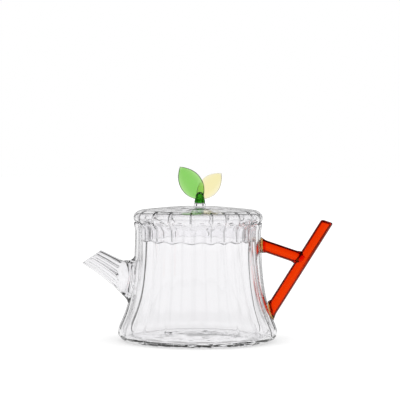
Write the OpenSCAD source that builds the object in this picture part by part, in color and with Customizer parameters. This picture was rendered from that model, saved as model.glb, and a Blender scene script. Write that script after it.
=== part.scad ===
// Fluted glass teapot: a blown vessel with a scalloped rim, a fluted spout on a drawn-out
// socket, a forked handle of coloured tube, and a lift-off lid whose knob is a pair of
// glass leaves. Millimetres, +Z up; the origin is the centre of the foot, on the table.
// The spout points along -X and the handle along +X.

/* [Vessel] */
// Flutes round the vessel and round the lid
flutes = 20; // [16:2:24]
// Angle from the spout to the first crease beyond it
flute_turn = 11; // [5:0.5:13]
// How far the flutes on the handle's side lean round between foot and rim, degrees
flute_twist = 12; // [0:1:14]
// Depth of the creases between the flutes
flute_depth = 1.2; // [0.6:0.1:1.6]
// Radius of the ring that the vessel stands on
foot_r = 57.4; // [54:0.5:60]
// Width of that ring's flat
foot_w = 3.5; // [2:0.5:6]
// Rise of the bottom's middle above the table
punt = 2.5; // [1:0.5:4]
// Largest radius of the vessel, just above the foot
heel_r = 67.8; // [64:0.1:72]
// Height of the largest radius
heel_z = 7.5; // [6:0.5:11]
// Radius of the neck
neck_r = 53.6; // [50:0.1:58]
// Height where the flare has run out into the neck
neck_z = 92; // [86:1:94]
// Mean height of the rim
rim_z = 99.9; // [96:0.1:106]
// Outward roll of the rim's lip
rim_roll = 0.8; // [0:0.1:1.2]
// Height of the rim's scallops above and below its mean
rim_wave = 0.8; // [0:0.1:1.2]
// Thickness of the blown wall
wall = 1.8; // [1.4:0.1:2.4]

/* [Spout] */
// Height where the spout's axis leaves the wall
spout_z = 48.6; // [45:0.1:53]
// Rise of the spout's axis above level, degrees
spout_rise = 33; // [29:0.5:36]
// Length of the axis from the wall to the middle of the mouth
spout_reach = 40.8; // [34:0.1:44]
// Outer radius at the middle of the mouth
mouth_r = 9.1; // [8:0.1:10]
// Outer radius where the tube is sealed to its socket
seal_r = 11.9; // [10.8:0.1:12.6]
// Slant of the mouth's cut from square, degrees
mouth_slant = 22.8; // [15:0.1:30]
// Slant of the seal from square, the other way, degrees
seal_slant = 26.3; // [15:0.1:30]
// How far the underside is drawn in half way along the tube
spout_sag = 1.2; // [0:0.1:2]
// Fine flutes round the spout
spout_flutes = 16; // [12:2:20]
// Depth of the fine flutes
spout_flute_depth = 0.5; // [0.2:0.1:0.7]
// Thickness of the spout's wall
spout_wall = 1.3; // [1:0.1:1.6]
// Length of the axis inside the drawn-out socket
socket_reach = 11.4; // [9:0.1:13]
// Height of the middle of the socket's foot
socket_z = 51.5; // [49:0.1:54]
// Height of the socket's foot on the wall
socket_h = 39.5; // [36:0.5:42]
// Width of the socket's foot on the wall
socket_w = 32; // [29:0.5:35]
// Width of the band where the socket meets the wall
socket_band = 2.4; // [1.8:0.1:3]

/* [Handle] */
// Outer diameter of the coloured tube
tube_d = 10.2; // [8.5:0.1:11]
// Thickness of its wall
tube_wall = 1.4; // [1:0.1:1.8]
// Height where the bar's axis meets the vessel
bar_z = 24.7; // [24:0.1:30]
// Lean of the bar from upright, degrees
bar_lean = 31.9; // [29:0.1:35]
// Length of the bar along its axis
bar_len = 90.8; // [84:0.1:94]
// Slant of the cut at the bar's upper end from square, degrees
bar_cut = 14; // [0:0.5:20]
// Height where the branch's axis meets the vessel
branch_z = 81.5; // [79:0.1:84]
// Fall of the branch below level, degrees
branch_fall = 18.5; // [14:0.1:22]
// Thickness of the glass bead between a tube and the vessel
bead_t = 1.3; // [1:0.1:2]
// How far a bead stands out round its tube
bead_lip = 0.5; // [0.3:0.1:1]
// How far a tube's melted foot flares
foot_flare = 0.8; // [0.4:0.1:1]
// Length of that flare
flare_len = 4; // [3:0.5:5]

/* [Lid] */
// How far the lid's shoulder stands out past the neck
lid_overhang = 1.4; // [0.6:0.1:2]
// Height of the shoulder's widest ring above the rim
shoulder_z = 4.5; // [4.2:0.1:6]
// Height of the top of the shoulder above the rim
crown_z = 11.1; // [10.5:0.1:13]
// Height of the lid's middle above the rim
dome_z = 14.1; // [13.6:0.1:17]
// Thickness of the lid's wall
lid_wall = 1.7; // [1.3:0.1:2.2]
// Radial room between the flange and the neck's creases
flange_room = 2.2; // [1:0.1:2.4]
// Depth of the flange below the rim
flange_depth = 14; // [10:0.5:17]
// Height of the scallops along the flange's edge above and below their mean
flange_wave = 0.75; // [0:0.05:1]

/* [Knob] */
// How far the knob stands from the lid's middle, towards the handle
knob_shift = 1.2; // [0:0.1:1.8]
// Radius of the clear collar
collar_r = 5.1; // [4.9:0.1:6]
// Height of the clear collar
collar_h = 2.5; // [1.4:0.1:2.6]
// Radius of the stem's foot
stem_r = 4.6; // [4.2:0.1:4.8]
// Radius of the stem's rounded bud
bud_r = 3.7; // [3.2:0.1:3.9]
// Height of the stem with its bud
stem_h = 9.6; // [9:0.1:11]
// Length of the green leaf from the bud's centre to its tip
green_len = 30.6; // [27:0.1:33]
// Half the width of the green leaf
green_half = 9.5; // [8:0.1:10.5]
// Lean of the green leaf towards the spout, degrees
green_lean = 33.5; // [30:0.5:38]
// Length of the amber leaf from the bud's centre to its tip
amber_len = 26.9; // [24:0.1:29]
// Half the width of the amber leaf
amber_half = 8.3; // [7.4:0.1:9]
// Lean of the amber leaf towards the handle, degrees
amber_lean = 43; // [38:0.5:46]
// Thickness of the leaves
leaf_t = 2.2; // [1.8:0.1:2.6]
// Depth of the leaves' cupping
leaf_cup = 1.6; // [0.8:0.1:2.4]
// Tilt of each leaf away from the other, degrees
leaf_tilt = 8; // [5:0.5:12]
// Half the space between the two leaves' middle lines at the bud
leaf_space = 0.4; // [0.3:0.1:0.8]

/* [Clearances] */
// Gap left between pieces that the flame has sealed together
seal_gap = 0.1; // [0.05:0.01:0.15]
// Gap between the lid's seat and the rim at rest
seat_gap = 0.3; // [0.2:0.05:0.4]

/* [Hidden] */
$fn = 64;

per_flute = 4;                     // facets across one flute
turns = flutes * per_flute;
facet = 360 / turns;               // angle of one facet
crease = 180 + flute_turn;         // angle of the first crease
spout_turns = 3 * spout_flutes;

clear_glass = [0.86, 0.89, 0.91, 0.45];
orange_glass = [0.88, 0.22, 0.03, 0.85];
amber_glass = [0.88, 0.66, 0.22, 0.7];
green_glass = [0.36, 0.74, 0.25, 0.75];
deep_green_glass = [0.02, 0.36, 0.03, 0.9];
straw_glass = [0.96, 0.9, 0.66, 0.7];

// ---- Curves and lofts ----

// Point at t of a cubic with control points p
function cubic(p, t) =
    p[0] * pow(1 - t, 3) + 3 * p[1] * t * pow(1 - t, 2)
    + 3 * p[2] * (1 - t) * pow(t, 2) + p[3] * pow(t, 3);

// Points of a cubic, leaving out its first, so that curves join end to end
function run(p, steps) = [for (i = [1:steps]) cubic(p, i / steps)];

function reversed(list) = [for (i = [len(list) - 1:-1:0]) list[i]];

// Outward unit normal of the outline p at point i; upright on the axis
function normal(p, i) =
    let (
        a = p[max(i - 1, 0)], b = p[min(i + 1, len(p) - 1)],
        n = [b[1] - a[1], a[0] - b[0]]
    )
    p[i][0] == 0 ? [0, sign(n[1])] : n / norm(n);

// The outline moved inwards by t, with creases half as deep
function inset(p, t) = [
    for (i = [0:len(p) - 1])
        let (n = normal(p, i)) [p[i][0] - t * n[0], p[i][1] - t * n[1], p[i][2] / 2, p[i][3]]
];

// Skin over rings, the last joined to the first. A ring of one point is a pole.
module skin(rings) {
    n = max([for (r = rings) len(r)]);
    starts = [for (i = 0, s = 0; i < len(rings); s = s + len(rings[i]), i = i + 1) s];
    function at(i, j) =
        let (k = i % len(rings))
        starts[k] + (len(rings[k]) == 1 ? 0 : j % n);
    faces = [
        for (i = [0:len(rings) - 1], j = [0:n - 1])
            let (a = at(i, j), b = at(i, j + 1), c = at(i + 1, j + 1), d = at(i + 1, j))
            each a == b && c == d ? [] : a == b ? [[a, d, c]] : c == d ? [[a, c, b]] : [[a, c, b], [a, d, c]]
    ];
    polyhedron([for (r = rings) each r], faces, convexity = 8);
}

// ---- The fluted surface ----

// How far a flute at angle a has drifted round at height z
function drift(a, z) =
    -flute_twist * (min(z, rim_z) / neck_z - 1 / 3) * (1 + cos(a)) / 2;

// 0 in a crease, 1 on the crown of a flute; u is an angle before drift
function lobe(u) = abs(sin((u - crease) * flutes / 2));

// -1 in a crease, 1 on the crown, smooth through both
function ripple(u) = -cos((u - crease) * flutes);

// A ring of the fluted surface from an outline point [radius, height, crease depth, wave]
function fluted_ring(p) = p[0] == 0 ? [[0, 0, p[1]]] : [
    for (i = [0:turns - 1])
        let (u = crease + i * facet, a = u + drift(u, p[1]), r = p[0] - p[2] * (1 - lobe(u)))
        [r * cos(a), r * sin(a), p[1] + p[3] * ripple(u)]
];

// A shell of thickness t whose outside is the fluted surface over the outline
module fluted_shell(outline, t, edge = []) {
    skin([for (p = concat(outline, edge, reversed(inset(outline, t)))) fluted_ring(p)]);
}

// ---- Vessel ----

punt_in = 12;      // width of the bottom's slope inside the foot
flare_low = 10;    // pull of the flare's curve at the heel
flare_high = 0.81; // share of the flare's height that leads into the neck
heel_steps = 3;
flare_steps = 8;

heel = [
    [foot_r, 0], [foot_r + 0.66 * (heel_r - foot_r), 0],
    [heel_r, 0.45 * heel_z], [heel_r, heel_z]
];
flare = [
    [heel_r, heel_z], [heel_r, heel_z + flare_low],
    [neck_r, neck_z - flare_high * (neck_z - heel_z)], [neck_r, neck_z]
];
lip_r = neck_r + rim_roll;
lip_z = rim_z - wall / 2;

// The outline runs from the middle of the bottom, out over the foot and up to the lip
vessel_outline = concat(
    [
        [0, punt, 0, 0], [foot_r - foot_w - punt_in, 0.6 * punt, 0, 0],
        [foot_r - foot_w, 0, 0, 0], [foot_r, 0, flute_depth / 2, 0]
    ],
    [for (p = concat(run(heel, heel_steps), run(flare, flare_steps))) [p[0], p[1], flute_depth, 0]],
    [
        [neck_r + rim_roll / 3, (neck_z + lip_z) / 2, flute_depth, rim_wave / 2],
        [lip_r, lip_z, flute_depth, rim_wave]
    ]
);
// The lip is rounded over by one ring at the rim's full height
rim_ring = [lip_r - wall / 2, rim_z, flute_depth, rim_wave];

// Radius over the crowns of the flutes at height z, between the heel and the lip
side_table = [for (p = vessel_outline) if (p[1] >= heel_z) [p[1], p[0]]];
function crown_r(z) = lookup(z, side_table);

// Radius of the vessel's outside at height z and angle a
function vessel_r(z, a) = crown_r(z) - flute_depth * (1 - lobe(a - drift(a, z)));

// ---- Spout ----

spout_root = [-vessel_r(spout_z, 180), 0, spout_z];
spout_dir = [-cos(spout_rise), 0, sin(spout_rise)];
spout_up = [sin(spout_rise), 0, cos(spout_rise)];
socket_steps = 6;
socket_neck = 4.5; // length over which the socket leaves the seal
socket_fall = 25;  // mean fall of the socket from the seal to the wall, degrees

// A ring round the spout's axis at s, leaning by slant, with fine creases of depth d, raised by lift
function spout_ring(s, r, slant = 0, d = 0, lift = 0) = [
    for (i = [0:spout_turns - 1])
        let (t = i * 360 / spout_turns, q = r - d * (1 - abs(cos(t * spout_flutes / 2))))
        spout_root + (s - q * cos(t) * tan(slant)) * spout_dir
        + (q * cos(t) + lift) * spout_up + q * sin(t) * [0, 1, 0]
];

// The ring of the seal, where the tube meets its socket
function seal_ring(s, r, d = 0) = spout_ring(s, r, -seal_slant, d);

// The ring half way along the tube, whose underside is drawn in
function waist_ring(wall, d) =
    spout_ring(
        (socket_reach + spout_reach) / 2, (seal_r + mouth_r - spout_sag) / 2 - wall,
        (mouth_slant - seal_slant) / 2, d, spout_sag / 2
    );

// An oval of height h and width w on the outside of the wall, out from it by gap
function wall_ring(h, w, gap) = [
    for (i = [0:spout_turns - 1])
        let (
            t = i * 360 / spout_turns, y = w / 2 * sin(t), z = socket_z + h / 2 * cos(t),
            r = vessel_r(z, 180 - asin(y / crown_r(z))) + gap
        )
        [-sqrt(r * r - y * y), y, z]
];

// Rings from an oval on the wall, which they leave along the wall, to the tube's seal
function socket_rings(r, h, w) =
    let (
        a = wall_ring(h, w, seal_gap), b = wall_ring(0.84 * h, 0.84 * w, seal_gap),
        d = seal_ring(socket_reach, r)
    )
    [
        for (k = [0:socket_steps])
            [
                for (i = [0:spout_turns - 1])
                    let (
                        fall = socket_fall * (1 - cos(i * 360 / spout_turns)),
                        c = d[i] + socket_neck * [cos(fall), 0, -sin(fall)]
                    )
                    cubic([a[i], b[i], c, d[i]], k / socket_steps)
            ]
    ];

// The hole in the wall has the outline of the socket's inner edge
hole_h = socket_h - 2 * socket_band;
hole_w = socket_w - 2 * socket_band;

module socket_hole() {
    translate([-heel_r, 0, 0])
        rotate([90, 0, 90])
            linear_extrude(heel_r - neck_r / 2)
                polygon([for (p = wall_ring(hole_h, hole_w, 0)) [p[1], p[2]]]);
}

// ---- Handle ----

tube_r = tube_d / 2;
bore_r = tube_r - tube_wall;
foot_flare_r = tube_r + foot_flare;
bead_r = foot_flare_r + bead_lip;
sunk = 12;                 // length drawn into the wall, where the wall's own form cuts it
patch_half = 17;           // half the height of the patch of wall that the bar is cut against
branch_patch_half = 9;     // and that the branch is cut against
bar_foot = [vessel_r(bar_z, 0), 0, bar_z];
branch_foot = [vessel_r(branch_z, 0), 0, branch_z];

// Length of the branch from the wall to the bar's axis
branch_len =
    let (dx = branch_foot[0] - bar_foot[0], dz = branch_foot[2] - bar_foot[2])
    (dz * sin(bar_lean) - dx * cos(bar_lean)) / cos(bar_lean - branch_fall);

// Puts a child drawn along +Z on the bar's axis, at the vessel
module along_bar() {
    translate(bar_foot) rotate([0, bar_lean, 0]) children();
}

// Puts a child drawn along +Z on the branch's axis, at the vessel
module along_branch() {
    translate(branch_foot) rotate([0, 90 + branch_fall, 0]) children();
}

// The solid behind the wall at the handle, half high each way from z, grown outwards by gap
module wall_patch(z, half, gap) {
    spread = 3;            // facets to each side
    steps = 6;
    middle = round((360 - crease) / facet);
    depth = 14;
    inner = neck_r - depth;
    rows = [
        for (k = [0:steps])
            let (h = z - half + 2 * half * k / steps)
            concat(
                [
                    for (i = [middle - spread:middle + spread])
                        let (
                            u = crease + i * facet, a = u + drift(u, h),
                            r = crown_r(h) + gap - flute_depth * (1 - lobe(u))
                        )
                        [r * cos(a), r * sin(a), h]
                ],
                [[inner, inner / 8, h], [inner, -inner / 8, h]]
            )
    ];
    skin(concat([[[inner + 2, 0, z - half]]], rows, [[[inner + 2, 0, z + half]]]));
}

// Half outline of a tube along +Z from z0 to z1 with a melted foot just past the wall
module tube_outline(z0, z1) {
    translate([0, z0]) square([tube_r, z1 - z0]);
    polygon([
        [0, z0], [foot_flare_r, z0], [foot_flare_r, bead_t],
        [tube_r + foot_flare / 3, bead_t + flare_len / 2], [tube_r, bead_t + flare_len],
        [0, bead_t + flare_len]
    ]);
}

// Length that the slanted cut takes off one side of the bar's end
cut_fall = tube_r * tan(bar_cut);

// The layer of glass over the wall that a stroke across it covers
module bead_layer(z, half) {
    difference() {
        intersection() {
            children();
            wall_patch(z, half, bead_t - seal_gap);
        }
        wall_patch(z, half + 1, seal_gap);
    }
}

// ---- Lid ----

lid_r = neck_r + lid_overhang;
flange_r = neck_r - wall - flute_depth / 2 - flange_room;
lid_top = rim_z + dome_z;
pad_r = collar_r + 2;      // flat ground under the knob
shoulder_in = 7.5;         // the dome's edge, in from the shoulder's widest ring
crown_ring = [lid_r - shoulder_in, rim_z + crown_z];
// The seat slopes past the rim's inner edge
seat = [rim_ring[0] - wall / 2 - seat_gap, rim_z - wall / 2 + 1.5 * seat_gap];
flange_edge = [flange_r, rim_z - flange_depth];

// Each cubic runs upwards: throat, underside of the shoulder, its top, and the dome
throat = [[flange_r, rim_z - 4.5], [flange_r, rim_z - 2.6], seat - [1.5, 1.5], seat];
shoulder_low = [seat, seat + [1.7, 1.7], [lid_r, rim_z + shoulder_z - 2.6], [lid_r, rim_z + shoulder_z]];
shoulder_top = [
    [lid_r, rim_z + shoulder_z], [lid_r, rim_z + shoulder_z + 3.6],
    [crown_ring[0] + 4.6, crown_ring[1] - 0.5], crown_ring
];
dome = [crown_ring, [crown_ring[0] - 12, crown_ring[1] + 1], [0.45 * crown_ring[0], lid_top], [pad_r, lid_top]];

// Points of a cubic with the crease depth and wave that lead evenly from one end to the other
function stretch(curve, from, to) =
    let (steps = 3)
    [for (i = [1:steps]) let (p = cubic(curve, i / steps), q = from + (to - from) * i / steps) [p[0], p[1], q[0], q[1]]];

lid_outline = concat(
    [
        [flange_edge[0], flange_edge[1], flute_depth, flange_wave],
        [throat[0][0], throat[0][1], flute_depth, rim_wave]
    ],
    stretch(throat, [flute_depth, rim_wave], [flute_depth, rim_wave]),
    stretch(shoulder_low, [flute_depth, rim_wave], [flute_depth, 0]),
    stretch(shoulder_top, [flute_depth, 0], [flute_depth, 0]),
    stretch(dome, [flute_depth, 0], [0, 0]),
    [[0, lid_top, 0, 0]]
);

// ---- Knob ----

collar_z = lid_top + seal_gap;
stem_z = collar_z + collar_h + seal_gap;
bud_z = stem_h - bud_r;    // the bud's centre above the stem's foot
root = 0.14;               // share of a leaf's length that lies below the bud's centre
leaf_steps = 12;
leaf_turns = 16;

// Half outline of the stem and its bud, grown by gap
module stem_outline(gap) {
    intersection() {
        translate([0, bud_z]) circle(bud_r + gap);
        translate([0, -stem_h]) square(3 * stem_h);
    }
    polygon([
        [0, -gap], [stem_r + gap, -gap], [stem_r - 0.2 + gap, 0.3 * stem_h],
        [bud_r + gap, bud_z], [0, bud_z]
    ]);
}

// Share of its half width that a leaf has at share u of its length
function leaf_width(u) = 1 - pow(abs(2 * u - 1), 2.2);

// A pointed leaf along +Z in the XZ plane, its middle line from z0 to z1, cupped towards -Y
module leaf_blade(z0, z1, half) {
    rings = [
        for (k = [1:leaf_steps - 1])
            let (u = k / leaf_steps, w = leaf_width(u), t = leaf_t / 2 * min(1, 2.5 * w))
            [
                for (i = [0:leaf_turns - 1])
                    let (a = i * 360 / leaf_turns, x = w * half * cos(a))
                    [
                        x,
                        t * sign(sin(a)) * pow(abs(sin(a)), 0.6) - leaf_cup * (pow(x / half, 2) + u * u),
                        z0 + (z1 - z0) * u
                    ]
            ]
    ];
    skin(concat([[[0, 0, z0]]], rings, [[[0, -leaf_cup, z1]]]));
}

// A leaf whose root is sealed to the bud; side is -1 for the front one and 1 for the back
module leaf(length, half, lean, side) {
    translate([knob_shift, 0, 0]) difference() {
        translate([0, side * (leaf_t / 2 + leaf_space), stem_z + bud_z])
            rotate([-side * leaf_tilt, 0, 0])
                rotate([0, lean, 0])
                    mirror([0, side > 0 ? 1 : 0, 0])
                        leaf_blade(-root * length, length, half);
        translate([0, 0, stem_z]) rotate_extrude() stem_outline(seal_gap);
    }
}

// ---- Pieces ----

module vessel() {
    color(clear_glass)
        difference() {
            fluted_shell(vessel_outline, wall, [rim_ring]);
            socket_hole();
        }
}

module spout_socket() {
    color(clear_glass)
        skin(concat(
            socket_rings(seal_r, socket_h, socket_w),
            reversed(socket_rings(seal_r - spout_wall, hole_h, hole_w))
        ));
}

module spout_tube() {
    start = socket_reach + seal_gap;
    color(clear_glass)
        skin([
            seal_ring(start, seal_r, spout_flute_depth),
            waist_ring(0, spout_flute_depth),
            spout_ring(spout_reach, mouth_r, mouth_slant, spout_flute_depth),
            spout_ring(spout_reach, mouth_r - spout_wall, mouth_slant, spout_flute_depth / 2),
            waist_ring(spout_wall, spout_flute_depth / 2),
            seal_ring(start, seal_r - spout_wall, spout_flute_depth / 2)
        ]);
}

module handle_bar() {
    color(orange_glass)
        difference() {
            along_bar()
                difference() {
                    rotate_extrude()
                        difference() {
                            tube_outline(-sunk, bar_len + cut_fall);
                            translate([0, -sunk - 1]) square([bore_r, bar_len + sunk + 1 - cut_fall - tube_wall]);
                        }
                    translate([0, 0, bar_len]) rotate([0, -bar_cut, 0]) translate([-bar_len, -bar_len, 0]) cube(2 * bar_len);
                }
            wall_patch(bar_z, patch_half, bead_t);
        }
}

module handle_branch() {
    color(orange_glass)
        difference() {
            along_branch()
                rotate_extrude()
                    difference() {
                        union() {
                            tube_outline(-sunk / 4, branch_len);
                            polygon([
                                [0, branch_len - tube_r - flare_len], [tube_r, branch_len - tube_r - flare_len],
                                [foot_flare_r, branch_len - tube_r + 1], [foot_flare_r, branch_len],
                                [0, branch_len]
                            ]);
                        }
                        translate([0, -sunk]) square([bore_r, branch_len + 2 * sunk]);
                    }
            wall_patch(branch_z, branch_patch_half, bead_t);
            along_bar() cylinder(r = tube_r + seal_gap, h = bar_len);
        }
}

module handle_lower_bead() {
    color(amber_glass)
        bead_layer(bar_z, patch_half)
            along_bar() translate([0, 0, -sunk]) cylinder(r = bead_r, h = 2 * sunk);
}

module handle_upper_bead() {
    color(amber_glass)
        bead_layer(branch_z, branch_patch_half)
            along_branch() translate([0, 0, -sunk / 2]) cylinder(r = bead_r, h = sunk);
}

module lid() {
    color(clear_glass) fluted_shell(lid_outline, lid_wall);
}

module knob_collar() {
    round = 0.6;
    color(clear_glass)
        translate([knob_shift, 0, collar_z])
            rotate_extrude() {
                square([collar_r - round, collar_h]);
                translate([0, round]) square([collar_r, collar_h - 2 * round]);
                for (z = [round, collar_h - round]) translate([collar_r - round, z]) circle(round);
            }
}

module knob_stem() {
    color(deep_green_glass) translate([knob_shift, 0, stem_z]) rotate_extrude() stem_outline(0);
}

module leaf_green() {
    color(green_glass) leaf(green_len, green_half, -green_lean, -1);
}

module leaf_amber() {
    color(straw_glass) leaf(amber_len, amber_half, amber_lean, 1);
}

vessel();
spout_socket();
spout_tube();
handle_bar();
handle_branch();
handle_lower_bead();
handle_upper_bead();
lid();
knob_collar();
knob_stem();
leaf_green();
leaf_amber();
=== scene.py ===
"""Studio scene of a fluted glass teapot with a forked coloured handle and a leaf knob.

Lengths are in metres and +Z is up. The origin is the centre of the foot, the spout points along -X and
the handle along +X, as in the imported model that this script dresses.
"""

from __future__ import annotations

import logging
import math
from dataclasses import dataclass, field, replace
from enum import Enum
from typing import Iterable, NamedTuple, Sequence

import bmesh
import bpy
import numpy as np
from mathutils import Matrix, Vector

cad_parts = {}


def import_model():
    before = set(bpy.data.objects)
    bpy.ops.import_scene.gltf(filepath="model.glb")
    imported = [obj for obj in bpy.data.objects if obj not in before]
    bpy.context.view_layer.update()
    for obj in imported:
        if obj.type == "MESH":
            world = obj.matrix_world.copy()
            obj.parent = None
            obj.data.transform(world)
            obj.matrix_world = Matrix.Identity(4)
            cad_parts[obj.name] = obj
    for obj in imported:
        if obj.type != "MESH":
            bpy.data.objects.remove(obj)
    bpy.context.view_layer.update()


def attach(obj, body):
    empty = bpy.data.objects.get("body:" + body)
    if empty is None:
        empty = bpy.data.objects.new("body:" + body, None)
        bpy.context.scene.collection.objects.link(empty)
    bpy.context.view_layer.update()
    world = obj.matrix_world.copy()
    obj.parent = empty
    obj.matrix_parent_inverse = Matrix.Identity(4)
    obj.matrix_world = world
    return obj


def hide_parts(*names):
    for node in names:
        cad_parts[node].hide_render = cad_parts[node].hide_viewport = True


LOG = logging.getLogger("teapot")
MM = 0.001
EDGE_STEPS = 8
SHARP_FROM = math.radians(40)
WHITE = (1.0, 1.0, 1.0, 1.0)
SOCKET_TYPES = {int: "NodeSocketInt", float: "NodeSocketFloat", 3: "NodeSocketVector", 4: "NodeSocketColor"}

Point2 = tuple[float, float]
Three = tuple[float, float, float]
Inputs = dict[str | int, object]
Attributes = dict[str, np.ndarray]


class Body(str, Enum):
    """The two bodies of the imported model."""

    POT = "pot"
    LID = "lid"


class Slot(str, Enum):
    """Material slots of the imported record."""

    CLEAR = "clear_glass"
    ORANGE = "orange_glass"
    AMBER = "amber_glass"
    GREEN = "green_glass"
    DEEP_GREEN = "deep_green_glass"
    STRAW = "straw_glass"


# ---- Node trees ----


class Value:
    """A value that a node tree works out. Plain arithmetic on it adds Math nodes."""

    def __init__(self, graph: Graph, socket: bpy.types.NodeSocket) -> None:
        """Wraps an output.

        Args:
            graph: the graph that takes the arithmetic's nodes.
            socket: the output.
        """
        self.graph = graph
        self.socket = socket

    def __add__(self, other: Operand) -> Value:
        """This value plus another."""
        return self.graph.math("ADD", self, other)

    def __sub__(self, other: Operand) -> Value:
        """This value less another."""
        return self.graph.math("SUBTRACT", self, other)

    def __rsub__(self, other: float) -> Value:
        """A number less this value."""
        return self.graph.math("SUBTRACT", other, self)

    def __mul__(self, other: Operand) -> Value:
        """This value times another."""
        return self.graph.math("MULTIPLY", self, other)

    def __truediv__(self, other: Operand) -> Value:
        """This value over another."""
        return self.graph.math("DIVIDE", self, other)

    def __rtruediv__(self, other: float) -> Value:
        """A number over this value."""
        return self.graph.math("DIVIDE", other, self)

    def __pow__(self, power: Operand) -> Value:
        """This value to a power."""
        return self.graph.math("POWER", self, power)

    def __abs__(self) -> Value:
        """This value without its sign."""
        return self.graph.math("ABSOLUTE", self)


Operand = float | int | Value


class Graph:
    """Short calls for building a node tree."""

    def __init__(self, tree: bpy.types.NodeTree) -> None:
        """Wraps a tree.

        Args:
            tree: the geometry or shader tree to build in.
        """
        self.tree = tree

    def feed(self, socket: bpy.types.NodeSocket, value: object) -> None:
        """Links a socket to a value of the tree, or sets its own value."""
        if isinstance(value, Value):
            self.tree.links.new(value.socket, socket)
        else:
            socket.default_value = value

    def add(self, kind: str, inputs: Inputs | None = None, **settings: object) -> bpy.types.Node:
        """Adds a node and feeds its inputs.

        Args:
            kind: Blender's name of the node type.
            inputs: values by the input's name or index.
            settings: properties to set on the node.

        Returns:
            The new node.
        """
        node = self.tree.nodes.new(kind)
        for name, value in settings.items():
            setattr(node, name, value)
        for name, value in (inputs or {}).items():
            self.feed(node.inputs[name], value)
        return node

    def call(
        self, kind: str, inputs: Inputs | None = None, output: str | int = 0, **settings: object
    ) -> Value:
        """Adds a node and returns one of its outputs.

        Args:
            kind: Blender's name of the node type.
            inputs: values by the input's name or index.
            output: name or index of the output.
            settings: properties to set on the node.

        Returns:
            The output's value.
        """
        return Value(self, self.add(kind, inputs, **settings).outputs[output])

    def math(self, operation: str, *operands: Operand) -> Value:
        """The result of a Math node's operation on one or two values."""
        return self.call("ShaderNodeMath", dict(enumerate(operands)), operation=operation)

    def combine(self, x: Operand, y: Operand, z: Operand) -> Value:
        """A vector of three values."""
        return self.call("ShaderNodeCombineXYZ", {"X": x, "Y": y, "Z": z})

    def split(self, vector: Value) -> list[Value]:
        """The three values of a vector."""
        return [Value(self, socket) for socket in self.add("ShaderNodeSeparateXYZ", {0: vector}).outputs]

    def smooth(self, value: Operand, low: float, high: float) -> Value:
        """A value mapped smoothly from 0 at low to 1 at high."""
        inputs = {"Value": value, "From Min": low, "From Max": high, "To Min": 0.0, "To Max": 1.0}
        return self.call("ShaderNodeMapRange", inputs, interpolation_type="SMOOTHSTEP")

    def mix(self, share: Operand, first: object, second: object) -> Value:
        """A mix of two colours."""
        return self.call("ShaderNodeMix", {0: share, 6: first, 7: second}, 2, data_type="RGBA")

    def group(self, tree: bpy.types.NodeTree, inputs: Inputs) -> list[Value]:
        """The outputs of a shader group, in order."""
        return [Value(self, socket) for socket in self.add("ShaderNodeGroup", inputs, node_tree=tree).outputs]

    def rays(self, *kinds: str) -> list[Value]:
        """Whether the ray that meets a surface is of a kind, for each of the kinds."""
        path = self.add("ShaderNodeLightPath")
        return [Value(self, path.outputs[f"Is {kind} Ray"]) for kind in kinds]


def new_group(
    name: str, kind: str, inputs: dict[str, object], outputs: dict[str, str]
) -> tuple[Graph, dict[str, Value], bpy.types.Node]:
    """Makes an empty node group with its sockets.

    Args:
        name: the group's name.
        kind: GeometryNodeTree or ShaderNodeTree.
        inputs: each input's default value, or its socket type where it has no default.
        outputs: each output's socket type.

    Returns:
        The group's graph, its inputs by name and its output node.
    """
    tree = bpy.data.node_groups.new(name, kind)
    for label, default in inputs.items():
        bare = isinstance(default, str)
        key = len(default) if isinstance(default, tuple) else type(default)
        socket_type = default if bare else SOCKET_TYPES[key]
        socket = tree.interface.new_socket(name=label, in_out="INPUT", socket_type=socket_type)
        if not bare:
            socket.default_value = default
    for label, socket_type in outputs.items():
        tree.interface.new_socket(name=label, in_out="OUTPUT", socket_type=socket_type)
    graph = Graph(tree)
    source = graph.add("NodeGroupInput")
    values = {label: Value(graph, source.outputs[label]) for label in inputs}
    return graph, values, graph.add("NodeGroupOutput")


def geometry_group(name: str, inputs: dict[str, object]) -> tuple[Graph, dict[str, Value], bpy.types.Node]:
    """Makes an empty geometry tree that takes a form and a material beside its own inputs."""
    sockets = {"Form": "NodeSocketGeometry", **inputs, "Material": "NodeSocketMaterial"}
    return new_group(name, "GeometryNodeTree", sockets, {"Geometry": "NodeSocketGeometry"})


def end_geometry(graph: Graph, geometry: Value, value: dict[str, Value], sink: bpy.types.Node) -> None:
    """Ends a geometry tree: makes its instances real and gives them their material."""
    real = graph.call("GeometryNodeRealizeInstances", {"Geometry": geometry})
    dressed = graph.call("GeometryNodeSetMaterial", {"Geometry": real, "Material": value["Material"]})
    graph.feed(sink.inputs["Geometry"], dressed)


def run_geometry_tree(
    source: bpy.types.Object, tree: bpy.types.NodeTree, name: str, values: dict[str, object]
) -> bpy.types.Object:
    """Runs a geometry tree over an object and keeps the result as a plain mesh.

    Args:
        source: the object whose mesh the tree reads; it is deleted.
        tree: the geometry tree.
        name: the name of the new object.
        values: the tree's inputs by name.

    Returns:
        A new object with the resulting mesh.
    """
    modifier = source.modifiers.new("shape", "NODES")
    modifier.node_group = tree
    sockets = {s.name: s.identifier for s in tree.interface.items_tree if s.in_out == "INPUT"}
    for label, value in values.items():
        modifier[sockets[label]] = value
    depsgraph = bpy.context.evaluated_depsgraph_get()
    mesh = bpy.data.meshes.new_from_object(source.evaluated_get(depsgraph))
    bpy.data.objects.remove(source)
    return link_object(name, mesh)


# ---- Meshes ----


def link_object(name: str, mesh: bpy.types.Mesh) -> bpy.types.Object:
    """Puts a mesh into the scene under a name."""
    mesh.name = name
    thing = bpy.data.objects.new(name, mesh)
    bpy.context.scene.collection.objects.link(thing)
    return thing


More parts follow.
